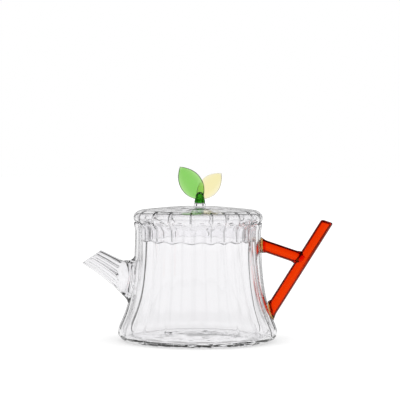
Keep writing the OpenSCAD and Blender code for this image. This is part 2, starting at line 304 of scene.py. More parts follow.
def new_mesh(
    name: str, points: Sequence[Sequence[float]], faces: Sequence[tuple[int, ...]], attributes: Attributes
) -> bpy.types.Object:
    """Makes an object of points and faces, or of a line where it has no faces.

    Args:
        name: the new object's name.
        points: its points.
        faces: the point numbers of each face.
        attributes: vertex attributes, one number or vector for each point.

    Returns:
        The new object.
    """
    mesh = bpy.data.meshes.new(name)
    line = [] if faces else [(i, i + 1) for i in range(len(points) - 1)]
    mesh.from_pydata(points, line, faces)
    for label, values in attributes.items():
        wide = values.ndim > 1
        layer = mesh.attributes.new(label, "FLOAT_VECTOR" if wide else "FLOAT", "POINT")
        layer.data.foreach_set("vector" if wide else "value", values.astype(np.float32).ravel())
    return link_object(name, mesh)


def cubic(controls: Sequence[Sequence[float]], share: float) -> np.ndarray:
    """The point at a share of a cubic curve with four control points."""
    a, b, c, d = (np.asarray(p, float) for p in controls)
    rest = 1.0 - share
    return a * rest**3 + 3 * b * share * rest**2 + 3 * c * rest * share**2 + d * share**3


def ease(share: float) -> float:
    """A smooth step from 0 to 1."""
    share = min(max(share, 0.0), 1.0)
    return share * share * (3.0 - 2.0 * share)


def loft(
    name: str, rings: Sequence[np.ndarray], attributes: Attributes | None = None, looped: bool = False
) -> bpy.types.Object:
    """Skins rings of equal length into a closed mesh.

    Args:
        name: the new object's name.
        rings: the rings, each an array of points.
        attributes: vertex attributes, one number or vector for each ring point.
        looped: whether the last ring joins the first, or both ends close with a fan.

    Returns:
        A new object with a closed mesh.
    """
    count = len(rings[0])
    points = [tuple(p) for ring in rings for p in ring]
    total = len(points)
    top = total - count
    steps = [(j, (j + 1) % count) for j in range(count)]
    strips = [(low, (low + count) % total) for low in range(0, total if looped else top, count)]
    faces: list[tuple[int, ...]] = [(a + j, a + k, b + k, b + j) for a, b in strips for j, k in steps]
    carried = dict(attributes or {})
    if not looped:
        points += [tuple(rings[0].mean(0)), tuple(rings[-1].mean(0))]
        for j, k in steps:
            faces += [(total, k, j), (total + 1, top + j, top + k)]
        for label, values in carried.items():
            carried[label] = np.concatenate([values, np.zeros((2, *values.shape[1:]))])
    return new_mesh(name, points, faces, carried)


def turn_outwards(thing: bpy.types.Object) -> None:
    """Turns a closed mesh's faces outwards."""
    work = bmesh.new()
    work.from_mesh(thing.data)
    bmesh.ops.recalc_face_normals(work, faces=work.faces)
    if work.calc_volume(signed=True) < 0:
        bmesh.ops.reverse_faces(work, faces=work.faces)
    work.to_mesh(thing.data)
    work.free()


def shade_smooth(thing: bpy.types.Object) -> None:
    """Shades a mesh smoothly, with its sharp corners kept."""
    thing.data.shade_smooth()
    thing.data.set_sharp_from_angle(angle=SHARP_FROM)


def finished(thing: bpy.types.Object) -> bpy.types.Object:
    """The same closed piece with its faces turned outwards and shaded smoothly."""
    turn_outwards(thing)
    shade_smooth(thing)
    return thing


class Join(str, Enum):
    """How one solid is worked into another."""

    ADD = "UNION"
    CUT = "DIFFERENCE"


def combine(target: bpy.types.Object, tool: bpy.types.Object, how: Join) -> bpy.types.Object:
    """Adds one closed solid to another or cuts it away.

    Args:
        target: the solid that is kept; it is replaced by the result.
        tool: the other solid; it is deleted.
        how: whether to add or to cut.

    Returns:
        A new object under the target's name.
    """
    name = target.name
    modifier = target.modifiers.new("work", "BOOLEAN")
    modifier.operation = how.value
    modifier.solver = "MANIFOLD"
    modifier.object = tool
    depsgraph = bpy.context.evaluated_depsgraph_get()
    mesh = bpy.data.meshes.new_from_object(target.evaluated_get(depsgraph))
    bpy.data.objects.remove(target)
    bpy.data.objects.remove(tool)
    return link_object(name, mesh)


# ---- Glass finishes ----


class GlassSurface:
    """The fine marks of hand-worked glass, as a shader group that every finish shares.

    Attributes:
        CORDS: look of the noise that draws the cords, and HAZE of the one that draws the hazy patches.
        HAZY_FROM: levels of the second noise between which a patch sets in.
    """

    _tree: bpy.types.NodeTree | None = None
    CORDS = {"Detail": 2.0, "Roughness": 0.45}
    HAZE = {"Scale": 25.0, "Detail": 4.0, "Roughness": 0.6}
    HAZY_FROM: Point2 = (0.5, 0.75)

    @classmethod
    def tree(cls) -> bpy.types.NodeTree:
        """The shader group, made once.

        Returns:
            A group that gives a height, a roughness and a tint that vary over the surface.
        """
        if cls._tree is None:
            cls._tree = cls._build()
        return cls._tree

    @classmethod
    def _build(cls) -> bpy.types.NodeTree:
        """Builds the group.

        Returns:
            The new shader group.
        """
        inputs = {
            "Tint": (1, 1, 1, 1), "Deep Tint": (1, 1, 1, 1),
            "Cord Scale": 60.0, "Cord Stretch": 0.15, "Haze": 0.02,
        }
        outputs = {"Height": "NodeSocketFloat", "Roughness": "NodeSocketFloat", "Color": "NodeSocketColor"}
        graph, value, sink = new_group("worked_glass", "ShaderNodeTree", inputs, outputs)
        place = graph.call("ShaderNodeTexCoord", output="Object")
        x, y, z = graph.split(place)
        drawn = graph.combine(x, y, z * value["Cord Stretch"])
        cord_inputs = {"Vector": drawn, "Scale": value["Cord Scale"], **cls.CORDS}
        cords = graph.call("ShaderNodeTexNoise", cord_inputs, "Fac")
        haze = graph.call("ShaderNodeTexNoise", {"Vector": place, **cls.HAZE}, "Fac")
        graph.feed(sink.inputs["Height"], cords)
        graph.feed(sink.inputs["Roughness"], graph.smooth(haze, *cls.HAZY_FROM) * value["Haze"])
        graph.feed(sink.inputs["Color"], graph.mix(cords, value["Tint"], value["Deep Tint"]))
        return graph.tree


@dataclass(frozen=True)
class GlassFinish:
    """One melt of glass, clear or coloured through.

    Attributes:
        slot: the record's material slot.
        tint: colour of light that crosses the surface where it is thin.
        deep_tint: the same along the cords that run through the glass.
        absorption: colour left after a long way through the melt.
        density: how fast the melt reaches that colour, per metre.
        ior: index of refraction.
        cord_scale: fineness of the cords.
        cord_stretch: how drawn out the cords are along Z.
        cord_height: height of the cords on the surface.
        haze: roughness of the hazy patches left by handling.
        painted_edge_shade: painted shade, a darker colour mixed in where the surface turns away from view,
            for the dark outlines at the glass's edges; None where none is painted.
        edge: how far the surface has turned away where that begins and where it is full.
        gloss_tint: colour of the gloss where it is seen face on.
    """

    slot: Slot
    tint: Three
    deep_tint: Three
    absorption: Three
    density: float
    ior: float = 1.47
    cord_scale: float = 60.0
    cord_stretch: float = 0.15
    cord_height: float = 0.00004
    haze: float = 0.02
    painted_edge_shade: Three | None = None
    edge: Point2 = (0.3, 0.55)
    gloss_tint: Three = (1.0, 1.0, 1.0)

    def build(self) -> bpy.types.Material:
        """Makes the material.

        Returns:
            A material of refracting glass with absorption in its volume, and painted shade where its surface
            turns away from view, if the finish has some.
        """
        material = bpy.data.materials.new(self.slot.value)
        material.use_nodes = True
        graph = Graph(material.node_tree)
        marks = {
            "Tint": (*self.tint, 1.0), "Deep Tint": (*self.deep_tint, 1.0),
            "Cord Scale": self.cord_scale, "Cord Stretch": self.cord_stretch, "Haze": self.haze,
        }
        height, roughness, colour = graph.group(GlassSurface.tree(), marks)
        bump = graph.call("ShaderNodeBump", {"Height": height, "Strength": 1.0, "Distance": self.cord_height})
        # Painted shade: darkens the colour where the surface turns away from view, for the glass's dark
        # outlines.
        if self.painted_edge_shade is not None:
            facing = graph.call("ShaderNodeLayerWeight", {"Blend": 0.5}, "Facing")
            colour = graph.mix(graph.smooth(facing, *self.edge), colour, (*self.painted_edge_shade, 1.0))
        look = {
            "Base Color": colour, "Roughness": roughness, "Normal": bump, "Transmission Weight": 1.0,
            "IOR": self.ior, "Specular Tint": (*self.gloss_tint, 1.0),
        }
        for label, value in look.items():
            graph.feed(material.node_tree.nodes["Principled BSDF"].inputs[label], value)
        absorption = {"Color": (*self.absorption, 1.0), "Density": self.density}
        melt = graph.call("ShaderNodeVolumeAbsorption", absorption, "Volume")
        graph.feed(material.node_tree.nodes["Material Output"].inputs["Volume"], melt)
        return material


# The coloured melts paint shade where their surface turns away from view; edge gives where it begins and
# where it is full.
FINISHES: tuple[GlassFinish, ...] = (
    GlassFinish(Slot.CLEAR, (0.99, 0.987, 0.995), (0.972, 0.968, 0.978), (0.6, 0.6, 0.64), 5.0),
    GlassFinish(
        Slot.ORANGE, (1.0, 0.85, 0.6), (1.0, 0.72, 0.45), (0.975, 0.5, 0.0), 3100.0, haze=0.04,
        painted_edge_shade=(0.03, 0.0, 0.0), edge=(0.28, 0.48), gloss_tint=(1.0, 0.3, 0.05),
    ),
    GlassFinish(
        Slot.AMBER, (1.0, 0.95, 0.85), (1.0, 0.9, 0.7), (0.95, 0.7, 0.2), 200.0,
        painted_edge_shade=(0.08, 0.05, 0.0), edge=(0.3, 0.6),
    ),
    GlassFinish(
        Slot.GREEN, (0.93, 0.95, 0.9), (0.86, 0.93, 0.82), (0.35, 0.81, 0.0), 850.0, cord_stretch=0.5,
        painted_edge_shade=(0.3, 0.42, 0.25), edge=(0.55, 0.85),
    ),
    GlassFinish(
        Slot.DEEP_GREEN, (0.62, 0.75, 0.6), (0.52, 0.66, 0.5), (0.4, 0.8, 0.1), 640.0,
        painted_edge_shade=(0.02, 0.06, 0.02), edge=(0.3, 0.55),
    ),
    GlassFinish(
        Slot.STRAW, (0.98, 0.96, 0.92), (0.98, 0.95, 0.87), (0.97, 0.87, 0.0), 260.0, cord_stretch=0.5,
        painted_edge_shade=(0.5, 0.48, 0.4), edge=(0.55, 0.85),
    ),
)


class Workshop:
    """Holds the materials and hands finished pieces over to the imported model's bodies."""

    def __init__(self, finishes: Iterable[GlassFinish]) -> None:
        """Builds every material once.

        Args:
            finishes: the glass finishes, one for each slot.
        """
        self.materials = {finish.slot: finish.build() for finish in finishes}

    def hand_over(self, piece: bpy.types.Object, slot: Slot, body: Body, *nodes: str) -> None:
        """Dresses a piece and ties it to its body and the nodes that it stands for.

        Args:
            piece: the finished object, at the origin.
            slot: the material slot of its glass.
            body: the body that it moves with.
            nodes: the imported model's nodes that it replaces.
        """
        piece.data.materials.clear()
        piece.data.materials.append(self.materials[slot])
        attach(piece, body.value)
        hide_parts(*nodes)
        faces = len(piece.data.polygons)
        LOG.info("%s: %d faces on %s for %s", piece.name, faces, body.value, ", ".join(nodes))


# ---- The fluted surface ----


@dataclass(frozen=True)
class Stray:
    """A place where the flutes were pulled aside in the blowing.

    Attributes:
        middle: angle round the pot of the place's middle.
        width: angle over which it dies away.
        heel: shift of a flute there at the heel.
        neck: shift at the neck.
    """

    middle: float
    width: float
    heel: float
    neck: float


@dataclass(frozen=True)
class Flutes:
    """The optic flutes that run up the vessel and on over the lid.

    Attributes:
        count: flutes round the pot.
        first_crease: angle of the first crease from the handle's side.
        twist: how far the flutes on the handle's side lean round between foot and rim.
        pivot: share of the neck's height at which a leaning flute keeps its place.
        wander: how far single creases stray from even spacing.
        neck_height: height at which the flare has run out.
        rim_height: mean height of the rim, above which the flutes run straight.
        rounding: how round the bottom of a crease is.
        gathering: how far the facets gather towards the creases, from 0 to 1.
        groove_width: width of the fine groove along a crease, as a share of half a flute's wave.
        spout_side: the stray beside the spout.
        front: the stray in the middle of the front.
    """

    count: int = 20
    first_crease: float = math.radians(191)
    twist: float = math.radians(12)
    pivot: float = 1 / 3
    wander: float = math.radians(0.8)
    neck_height: float = 92 * MM
    rim_height: float = 99.9 * MM
    rounding: float = 0.1
    gathering: float = 0.88
    groove_width: float = 0.09
    spout_side: Stray = Stray(math.radians(202), math.radians(14), math.radians(-6), math.radians(-6))
    front: Stray = Stray(math.radians(278), math.radians(22), 0.0, math.radians(6.5))

    def drift(self, angle: np.ndarray, height: np.ndarray) -> np.ndarray:
        """How far a flute has leant round at a height."""
        share = np.minimum(height, self.rim_height) / self.neck_height
        lean = -self.twist * (share - self.pivot) * (1 + np.cos(angle)) / 2
        for stray in (self.spout_side, self.front):
            near = np.exp((np.cos(angle - stray.middle) - 1) * 2 / stray.width**2)
            lean = lean + near * (stray.heel + (stray.neck - stray.heel) * share)
        return lean

    def lobe(self, angle: np.ndarray) -> np.ndarray:
        """0 in a crease and 1 on the crown of a flute."""
        wave = np.sin((angle - self.first_crease) * self.count / 2)
        soft = np.hypot(wave, self.rounding) - self.rounding
        return soft / (math.hypot(1, self.rounding) - self.rounding)


@dataclass(frozen=True)
class OutlinePoint:
    """A point of a shell's half section.

    Attributes:
        radius: distance from the axis.
        height: height above the table.
        crease: depth of the creases there.
        wave: half height of the scallops there.
        ripple: height of the fine ripples that shaping left on a flat place.
        waver: how far the hand-blown surface strays there.
        layer: 0 on the outside of the glass and 1 on the inside.
        groove: depth of the fine groove along the bottom of each crease.
    """

    radius: float
    height: float
    crease: float = 0.0
    wave: float = 0.0
    ripple: float = 0.0
    waver: float = 0.0
    layer: float = 0.0
    groove: float = 0.0


@dataclass
class Outline:
    """The half section of a shell, walked with its outside on the right."""

    points: list[OutlinePoint]

    def cubic(self, controls: Sequence[Point2], steps: int, **ends: Point2) -> None:
        """Adds the points of a cubic, leaving out its first.

        Args:
            controls: the four control points, as radius and height.
            steps: how many points to add.
            ends: what the points' other values are at the curve's two ends, where they aren't 0.
        """
        for i in range(1, steps + 1):
            radius, height = cubic(controls, i / steps)
            blend = ease(i / steps)
            values = {name: first + (last - first) * blend for name, (first, last) in ends.items()}
            self.points.append(OutlinePoint(float(radius), float(height), **values))

    def inset(self, wall: float, crease_share: float, waver: float) -> Outline:
        """The inner face of a wall whose outer face is this outline.

        Args:
            wall: the wall's thickness.
            crease_share: depth of the inner creases as a share of the outer ones.
            waver: stray of the inner surface, where the outer one strays at all.

        Returns:
            A new outline, walked the same way.
        """
        inner = []
        last = len(self.points) - 1
        for i, p in enumerate(self.points):
            before, after = self.points[max(i - 1, 0)], self.points[min(i + 1, last)]
            normal = Vector((after.height - before.height, before.radius - after.radius))
            normal.normalize()
            if p.radius == 0:
                normal = Vector((0.0, math.copysign(1.0, normal.y)))
            radius, height = max(p.radius - wall * normal.x, 0.0), p.height - wall * normal.y
            strayed = waver if p.waver > 0 else 0.0
            crease = p.crease * crease_share
            inner.append(
                replace(p, radius=radius, height=height, crease=crease, waver=strayed, layer=1.0, groove=0.0)
            )
        return Outline(inner)

    def to_object(self) -> bpy.types.Object:
        """Makes the outline a line of points with its values as attributes.

        Returns:
            A new object for the fluting tree to read.
        """
        groups = {"relief": ("crease", "wave", "ripple"), "hand": ("waver", "layer", "groove")}
        vectors = {
            label: np.array([[getattr(p, name) for name in names] for p in self.points])
            for label, names in groups.items()
        }
        return new_mesh("outline", [(p.radius, 0.0, p.height) for p in self.points], [], vectors)


def rounded_edge(middle: Point2, half: float, **values: float) -> list[OutlinePoint]:
    """Points round the edge of a wall, from one of its faces to the other.

    Args:
        middle: the middle of the wall at its edge, as radius and height.
        half: half of the wall, negative where the edge looks down.
        values: the points' other values, where they aren't 0.

    Returns:
        The points between the two faces.
    """
    radius, height = middle
    turns = [math.pi * i / EDGE_STEPS for i in range(1, EDGE_STEPS)]
    return [OutlinePoint(radius + half * math.cos(a), height + half * math.sin(a), **values) for a in turns]


class FlutedShell:
    """Turns an outline into a shell with creases, scallops and a hand-blown stray.

    Attributes:
        STEPS: facets round a shell.
        SEED: seed of its noise, and INNER_SEED what the inside adds to it.
        WANDER: look of the noise that shifts the creases, WAVER of the surface's and RIPPLE of the ripples'.
        WAVER_ROUND: how fast the waver changes round the shell, and WAVER_UP how fast upwards.
        SIDE_FOCUS: how closely grooves that are left out in front keep to the two sides.
        MERGE: distance within which points become one, at the poles and along the seam.
    """

    STEPS = 480
    SEED = 4.0
    INNER_SEED = 7.0
    WANDER = {"Scale": 2.2, "Detail": 1.0}
    WAVER = {"Scale": 1.6, "Detail": 2.0, "Roughness": 0.4}
    WAVER_ROUND, WAVER_UP = 3.2, 9.0
    RIPPLE = {"Scale": 90.0, "Detail": 1.0, "Distortion": 0.6}
    SIDE_FOCUS = 10.0
    MERGE = 0.002 * MM
    _tree: bpy.types.NodeTree | None = None

    @classmethod
    def make(cls, name: str, outline: Outline, flutes: Flutes, front_groove: float) -> bpy.types.Object:
        """Makes one shell.

        Args:
            name: the piece's name.
            outline: the half section, both of whose ends are on the axis.
            flutes: the flutes that cross it.
            front_groove: share of the creases' groove that is left on the front and back.

        Returns:
            The shell as a plain mesh.
        """
        beside, front = flutes.spout_side, flutes.front
        values = {
            "Steps": cls.STEPS,
            "Flutes": flutes.count,
            "First Crease": flutes.first_crease,
            "Twist": flutes.twist,
            "Pivot": flutes.pivot,
            "Neck Height": flutes.neck_height,
            "Rim Height": flutes.rim_height,
            "Spout Stray": (beside.middle, beside.width, 0.0),
            "Spout Shift": (beside.heel, beside.neck, 0.0),
            "Front Stray": (front.middle, front.width, 0.0),
            "Front Shift": (front.heel, front.neck, 0.0),
            "Rounding": flutes.rounding,
            "Gathering": flutes.gathering,
            "Groove Width": flutes.groove_width,
            "Front Groove": front_groove,
            "Side Focus": cls.SIDE_FOCUS,
            "Wander": flutes.wander,
            "Seed": cls.SEED,
        }
        if cls._tree is None:
            cls._tree = cls._build(values)
        return finished(run_geometry_tree(outline.to_object(), cls._tree, name, values))

    @classmethod
    def _build(cls, inputs: dict[str, object]) -> bpy.types.NodeTree:
        """Builds the tree that revolves an outline and flutes it.

        Args:
            inputs: the tree's inputs and what they are by default.

        Returns:
            The geometry tree.
        """
        graph, value, sink = geometry_group("fluted_shell", inputs)
        count = graph.call("GeometryNodeAttributeDomainSize", {"Geometry": value["Form"]}, "Point Count")
        columns = value["Steps"] + 1
        grid = graph.call("GeometryNodeMeshGrid", {"Vertices X": count, "Vertices Y": columns}, "Mesh")
        index = graph.call("GeometryNodeInputIndex")
        row = graph.math("FLOOR", (index + 0.5) / columns)
        column = index - row * columns

        def sample(field_value: Value) -> list[Value]:
            """The three values of a vector of the outline at this row."""
            wanted = {"Geometry": value["Form"], "Value": field_value, "Index": row}
            found = graph.call("GeometryNodeSampleIndex", wanted, data_type="FLOAT_VECTOR", clamp=True)
            return graph.split(found)

        def named(label: str) -> Value:
            """A vector attribute of the outline."""
            return graph.call("GeometryNodeInputNamedAttribute", {"Name": label}, data_type="FLOAT_VECTOR")

        def noise(place: Value, seed: Value, look: dict[str, float]) -> Value:
            """Noise from -1 to 1."""
            drawn = {"Vector": place, "W": seed, **look}
            level = graph.call("ShaderNodeTexNoise", drawn, "Fac", noise_dimensions="4D")
            return (level - 0.5) * 2.0

        def sine(angle: Value) -> Value:
            """The sine of an angle."""
            return graph.math("SINE", angle)

        def cosine(angle: Value) -> Value:
            """The cosine of an angle."""
            return graph.math("COSINE", angle)

        radius, _, height = sample(graph.call("GeometryNodeInputPosition"))
        crease, wave, ripple = sample(named("relief"))
        waver, layer, groove = sample(named("hand"))

        # Where a column stands: evenly round, gathered towards the creases, and strayed.
        even = column * math.tau / value["Steps"]
        turn = even - sine(even * value["Flutes"]) * (value["Gathering"] / value["Flutes"])
        start = turn + value["First Crease"]
        circle = graph.combine(cosine(start), sine(start), 0.0)
        wandered = noise(circle, value["Seed"], cls.WANDER) * value["Wander"]

        # How deep the glass is folded in there, with a fine groove along the bottom of the crease.
        half_turns = turn * (value["Flutes"] * 0.5)
        swing = sine(half_turns)
        rounding = value["Rounding"]
        soft = graph.math("SQRT", abs(swing) ** 2.0 + rounding**2.0)
        full = graph.math("SQRT", rounding**2.0 + 1.0)
        valley = 1.0 - (soft - rounding) / (full - rounding)
        sideways = abs(cosine(start)) ** value["Side Focus"]
        least = value["Front Groove"]
        deep = least + (1.0 - least) * sideways
        near_bottom = graph.math("EXPONENT", (swing / value["Groove Width"]) ** 2.0 * -1.0)
        folded = crease * valley + near_bottom * groove * deep
        scallop = cosine(half_turns * 2.0) * -1.0

        # How far the flute has leant and been pulled aside at this height.
        share_up = graph.math("MINIMUM", height, value["Rim Height"]) / value["Neck Height"]
        side = (cosine(start) + 1.0) * 0.5
        angle = start - value["Twist"] * (share_up - value["Pivot"]) * side + wandered
        for label in ("Spout", "Front"):
            middle, width, _ = graph.split(value[f"{label} Stray"])
            heel, neck, _ = graph.split(value[f"{label} Shift"])
            near = graph.math("EXPONENT", (cosine(start - middle) - 1.0) * (2.0 / width**2.0))
            angle = angle + near * (heel + (neck - heel) * share_up)
        across, along = cosine(angle), sine(angle)

        # The hand-blown waver, the ripples of a flat place, and the point's final place.
        drawn = graph.combine(across * cls.WAVER_ROUND, along * cls.WAVER_ROUND, height * cls.WAVER_UP)
        seed = value["Seed"] + layer * cls.INNER_SEED
        reach = graph.math("MAXIMUM", radius - folded + noise(drawn, seed, cls.WAVER) * waver, 0.0)
        flat = graph.combine(reach * across, reach * along, 0.0)
        rippled = noise(flat, seed, cls.RIPPLE) * ripple
        placed = graph.combine(reach * across, reach * along, height + (wave * scallop + rippled))
        shell = graph.call("GeometryNodeSetPosition", {"Geometry": grid, "Position": placed})
        shell = graph.call("GeometryNodeMergeByDistance", {"Geometry": shell, "Distance": cls.MERGE})
        end_geometry(graph, shell, value, sink)
        return graph.tree


# ---- Vessel ----


@dataclass
class Vessel:
    """The blown body: foot, heel, flare, neck and scalloped rim.

    Attributes:
        flutes: the flutes of the body and the lid.
        foot_edge: width of the rounding at the foot's two edges.
        foot_rise: how far the punt's curve still stands above the table near the foot.
        punt_hold: shares of the punt's radius at which its curve leaves its height and nears the foot.
        heel_hold: shares of the heel over which its curve keeps to the table and to the upright.
        flare_hold: height over which the flare keeps to the upright above the heel.
        neck_hold: share of the flare over which it keeps to the neck's upright.
        lip_hold: heights over which the lip keeps to the neck's upright and to its own.
        waver: stray of the outside along the flare.
        inner_waver: stray of the inside.
        well_clear: height above the bottom at which the wall is of even thickness again.
        well_corner: how far the corner's curve carries the bottom on, outwards and up.
        well_side: height above the bottom from which that curve keeps to the wall.
        ripple: height of the ripples in the bottom's thick glass, and ripple_left their share at the corner.
        samples: points of the flare from which its radius at a height is read.
    """

    flutes: Flutes
    foot_radius: float = 57.4 * MM
    foot_width: float = 3.5 * MM
    foot_edge: float = 1 * MM
    foot_rise: float = 0.1 * MM
    punt: float = 2.5 * MM
    punt_hold: Point2 = (0.55, 0.85)
    heel_radius: float = 67.7 * MM
    heel_height: float = 7.5 * MM
    heel_hold: Point2 = (0.66, 0.45)
    flare_hold: float = 10 * MM
    neck_hold: float = 0.81
    neck_radius: float = 53.6 * MM
    rim_roll: float = 0.8 * MM
    rim_wave: float = 0.8 * MM
    lip_swell: float = 0.5 * MM
    lip_hold: Point2 = (4 * MM, 2 * MM)
    crease: float = 1.0 * MM
    inner_crease_share: float = 0.95
    groove: float = 0.8 * MM
    waver: float = 0.03 * MM
    inner_waver: float = 0.09 * MM
    wall: float = 1.8 * MM
    bottom: float = 4.0 * MM
    well_radius: float = 62 * MM
    well_clear: float = 4 * MM
    well_corner: Point2 = (2.5 * MM, 0.1 * MM)
    well_side: float = 1.3 * MM
    ripple: float = 1.9 * MM
    ripple_left: float = 0.15
    samples: int = 400
    _flare: np.ndarray | None = field(default=None, repr=False)

    @property
    def lip_radius(self) -> float:
        """Outer radius of the rolled lip."""
        return self.neck_radius + self.rim_roll

    @property
    def heel_curve(self) -> list[Point2]:
        """Control points of the heel, from the foot to the widest ring."""
        out, up = self.heel_hold
        return [
            (self.foot_radius, 0.0),
            (self.foot_radius + out * (self.heel_radius - self.foot_radius), 0.0),
            (self.heel_radius, up * self.heel_height),
            (self.heel_radius, self.heel_height),
        ]

    @property
    def flare_curve(self) -> list[Point2]:
        """Control points of the flare, from the widest ring to the neck."""
        neck = self.flutes.neck_height
        return [
            (self.heel_radius, self.heel_height),
            (self.heel_radius, self.heel_height + self.flare_hold),
            (self.neck_radius, neck - self.neck_hold * (neck - self.heel_height)),
            (self.neck_radius, neck),
        ]

    def crown_radius(self, height: np.ndarray) -> np.ndarray:
        """Radius over the crowns of the flutes at heights above the heel."""
        if self._flare is None:
            shares = np.linspace(0, 1, self.samples)
            self._flare = np.array([cubic(self.flare_curve, share) for share in shares]).T
        return np.interp(height, self._flare[1], self._flare[0])

    def radius_at(self, height: np.ndarray, angle: np.ndarray) -> np.ndarray:
        """Radius of the outside of the wall at heights and angles."""
        lobe = self.flutes.lobe(angle - self.flutes.drift(angle, height))
        return self.crown_radius(height) - self.crease * (1 - lobe)

    def outline(self) -> Outline:
        """The wall's section, from the middle of the bottom over the lip and back inside.

        Returns:
            The outline, both of whose ends are on the axis.
        """
        foot, inner_foot = self.foot_radius, self.foot_radius - self.foot_width
        neck = self.flutes.neck_height
        lip = (self.lip_radius, self.flutes.rim_height - self.wall / 2)
        full, wave, fine = (self.crease, self.crease), self.rim_wave, self.groove
        half_deep = self.crease / 2
        from_punt, to_foot = self.punt_hold
        outside = Outline([OutlinePoint(0.0, self.punt)])
        bottom = [
            (0.0, self.punt), (from_punt * inner_foot, self.punt),
            (to_foot * inner_foot, self.foot_rise), (inner_foot, 0.0),
        ]
        outside.cubic(bottom, 10)
        flat = [(r, 0.0) for r in (inner_foot, inner_foot + self.foot_edge, foot - self.foot_edge, foot)]
        outside.cubic(flat, 2, crease=(0.0, half_deep))
        outside.cubic(self.heel_curve, 12, crease=(half_deep, self.crease), groove=(0.0, fine))
        outside.cubic(self.flare_curve, 36, crease=full, waver=(0.0, self.waver), groove=(fine, fine))
        rise, fall = self.lip_hold
        outer_lip = (lip[0] + self.lip_swell, lip[1] - fall)
        curve = [(self.neck_radius, neck), (self.neck_radius, neck + rise), outer_lip, lip]
        outside.cubic(curve, 7, crease=full, wave=(0.0, wave), waver=(self.waver, 0.0), groove=(fine, 0.0))
        half = self.wall / 2
        edge = rounded_edge((lip[0] - half, lip[1]), half, crease=self.crease, wave=wave)
        inside = self.with_well(outside.inset(self.wall, self.inner_crease_share, self.inner_waver))
        return Outline([*outside.points, *edge, *reversed(inside.points)])

    def with_well(self, inside: Outline) -> Outline:
        """Fills the inside's low corner with the thick glass of the bottom.

        Args:
            inside: the wall's inner face, of even thickness.

        Returns:
            The inner face with a flatter, thicker bottom.
        """
        well, floor, left = self.well_radius, self.bottom, self.ripple_left * self.ripple
        top = next(p for p in inside.points if p.radius > well and p.height > floor + self.well_clear)
        curved = Outline([OutlinePoint(0.0, floor)])
        for shares, steps, ripple in (
            ((0.0, 0.2, 0.4, 0.5), 6, (0.0, self.ripple)),
            ((0.5, 0.6, 0.8, 1.0), 18, (self.ripple, left)),
        ):
            curved.cubic([(share * well, floor) for share in shares], steps, ripple=ripple)
        out, up = self.well_corner
        side = [(top.radius, floor + self.well_side), (top.radius, top.height)]
        corner = [(well, floor), (well + out, floor + up), *side]
        curved.cubic(corner, 10, crease=(0.0, top.crease), ripple=(left, 0.0), waver=(0.0, self.inner_waver))
        low = [replace(p, layer=1.0) for p in curved.points]
        return Outline([*low, *inside.points[inside.points.index(top) + 1:]])

    def build(self) -> bpy.types.Object:
        """Makes the vessel's shell, without its spout."""
        return FlutedShell.make("blown_pot", self.outline(), self.flutes, front_groove=0.0)


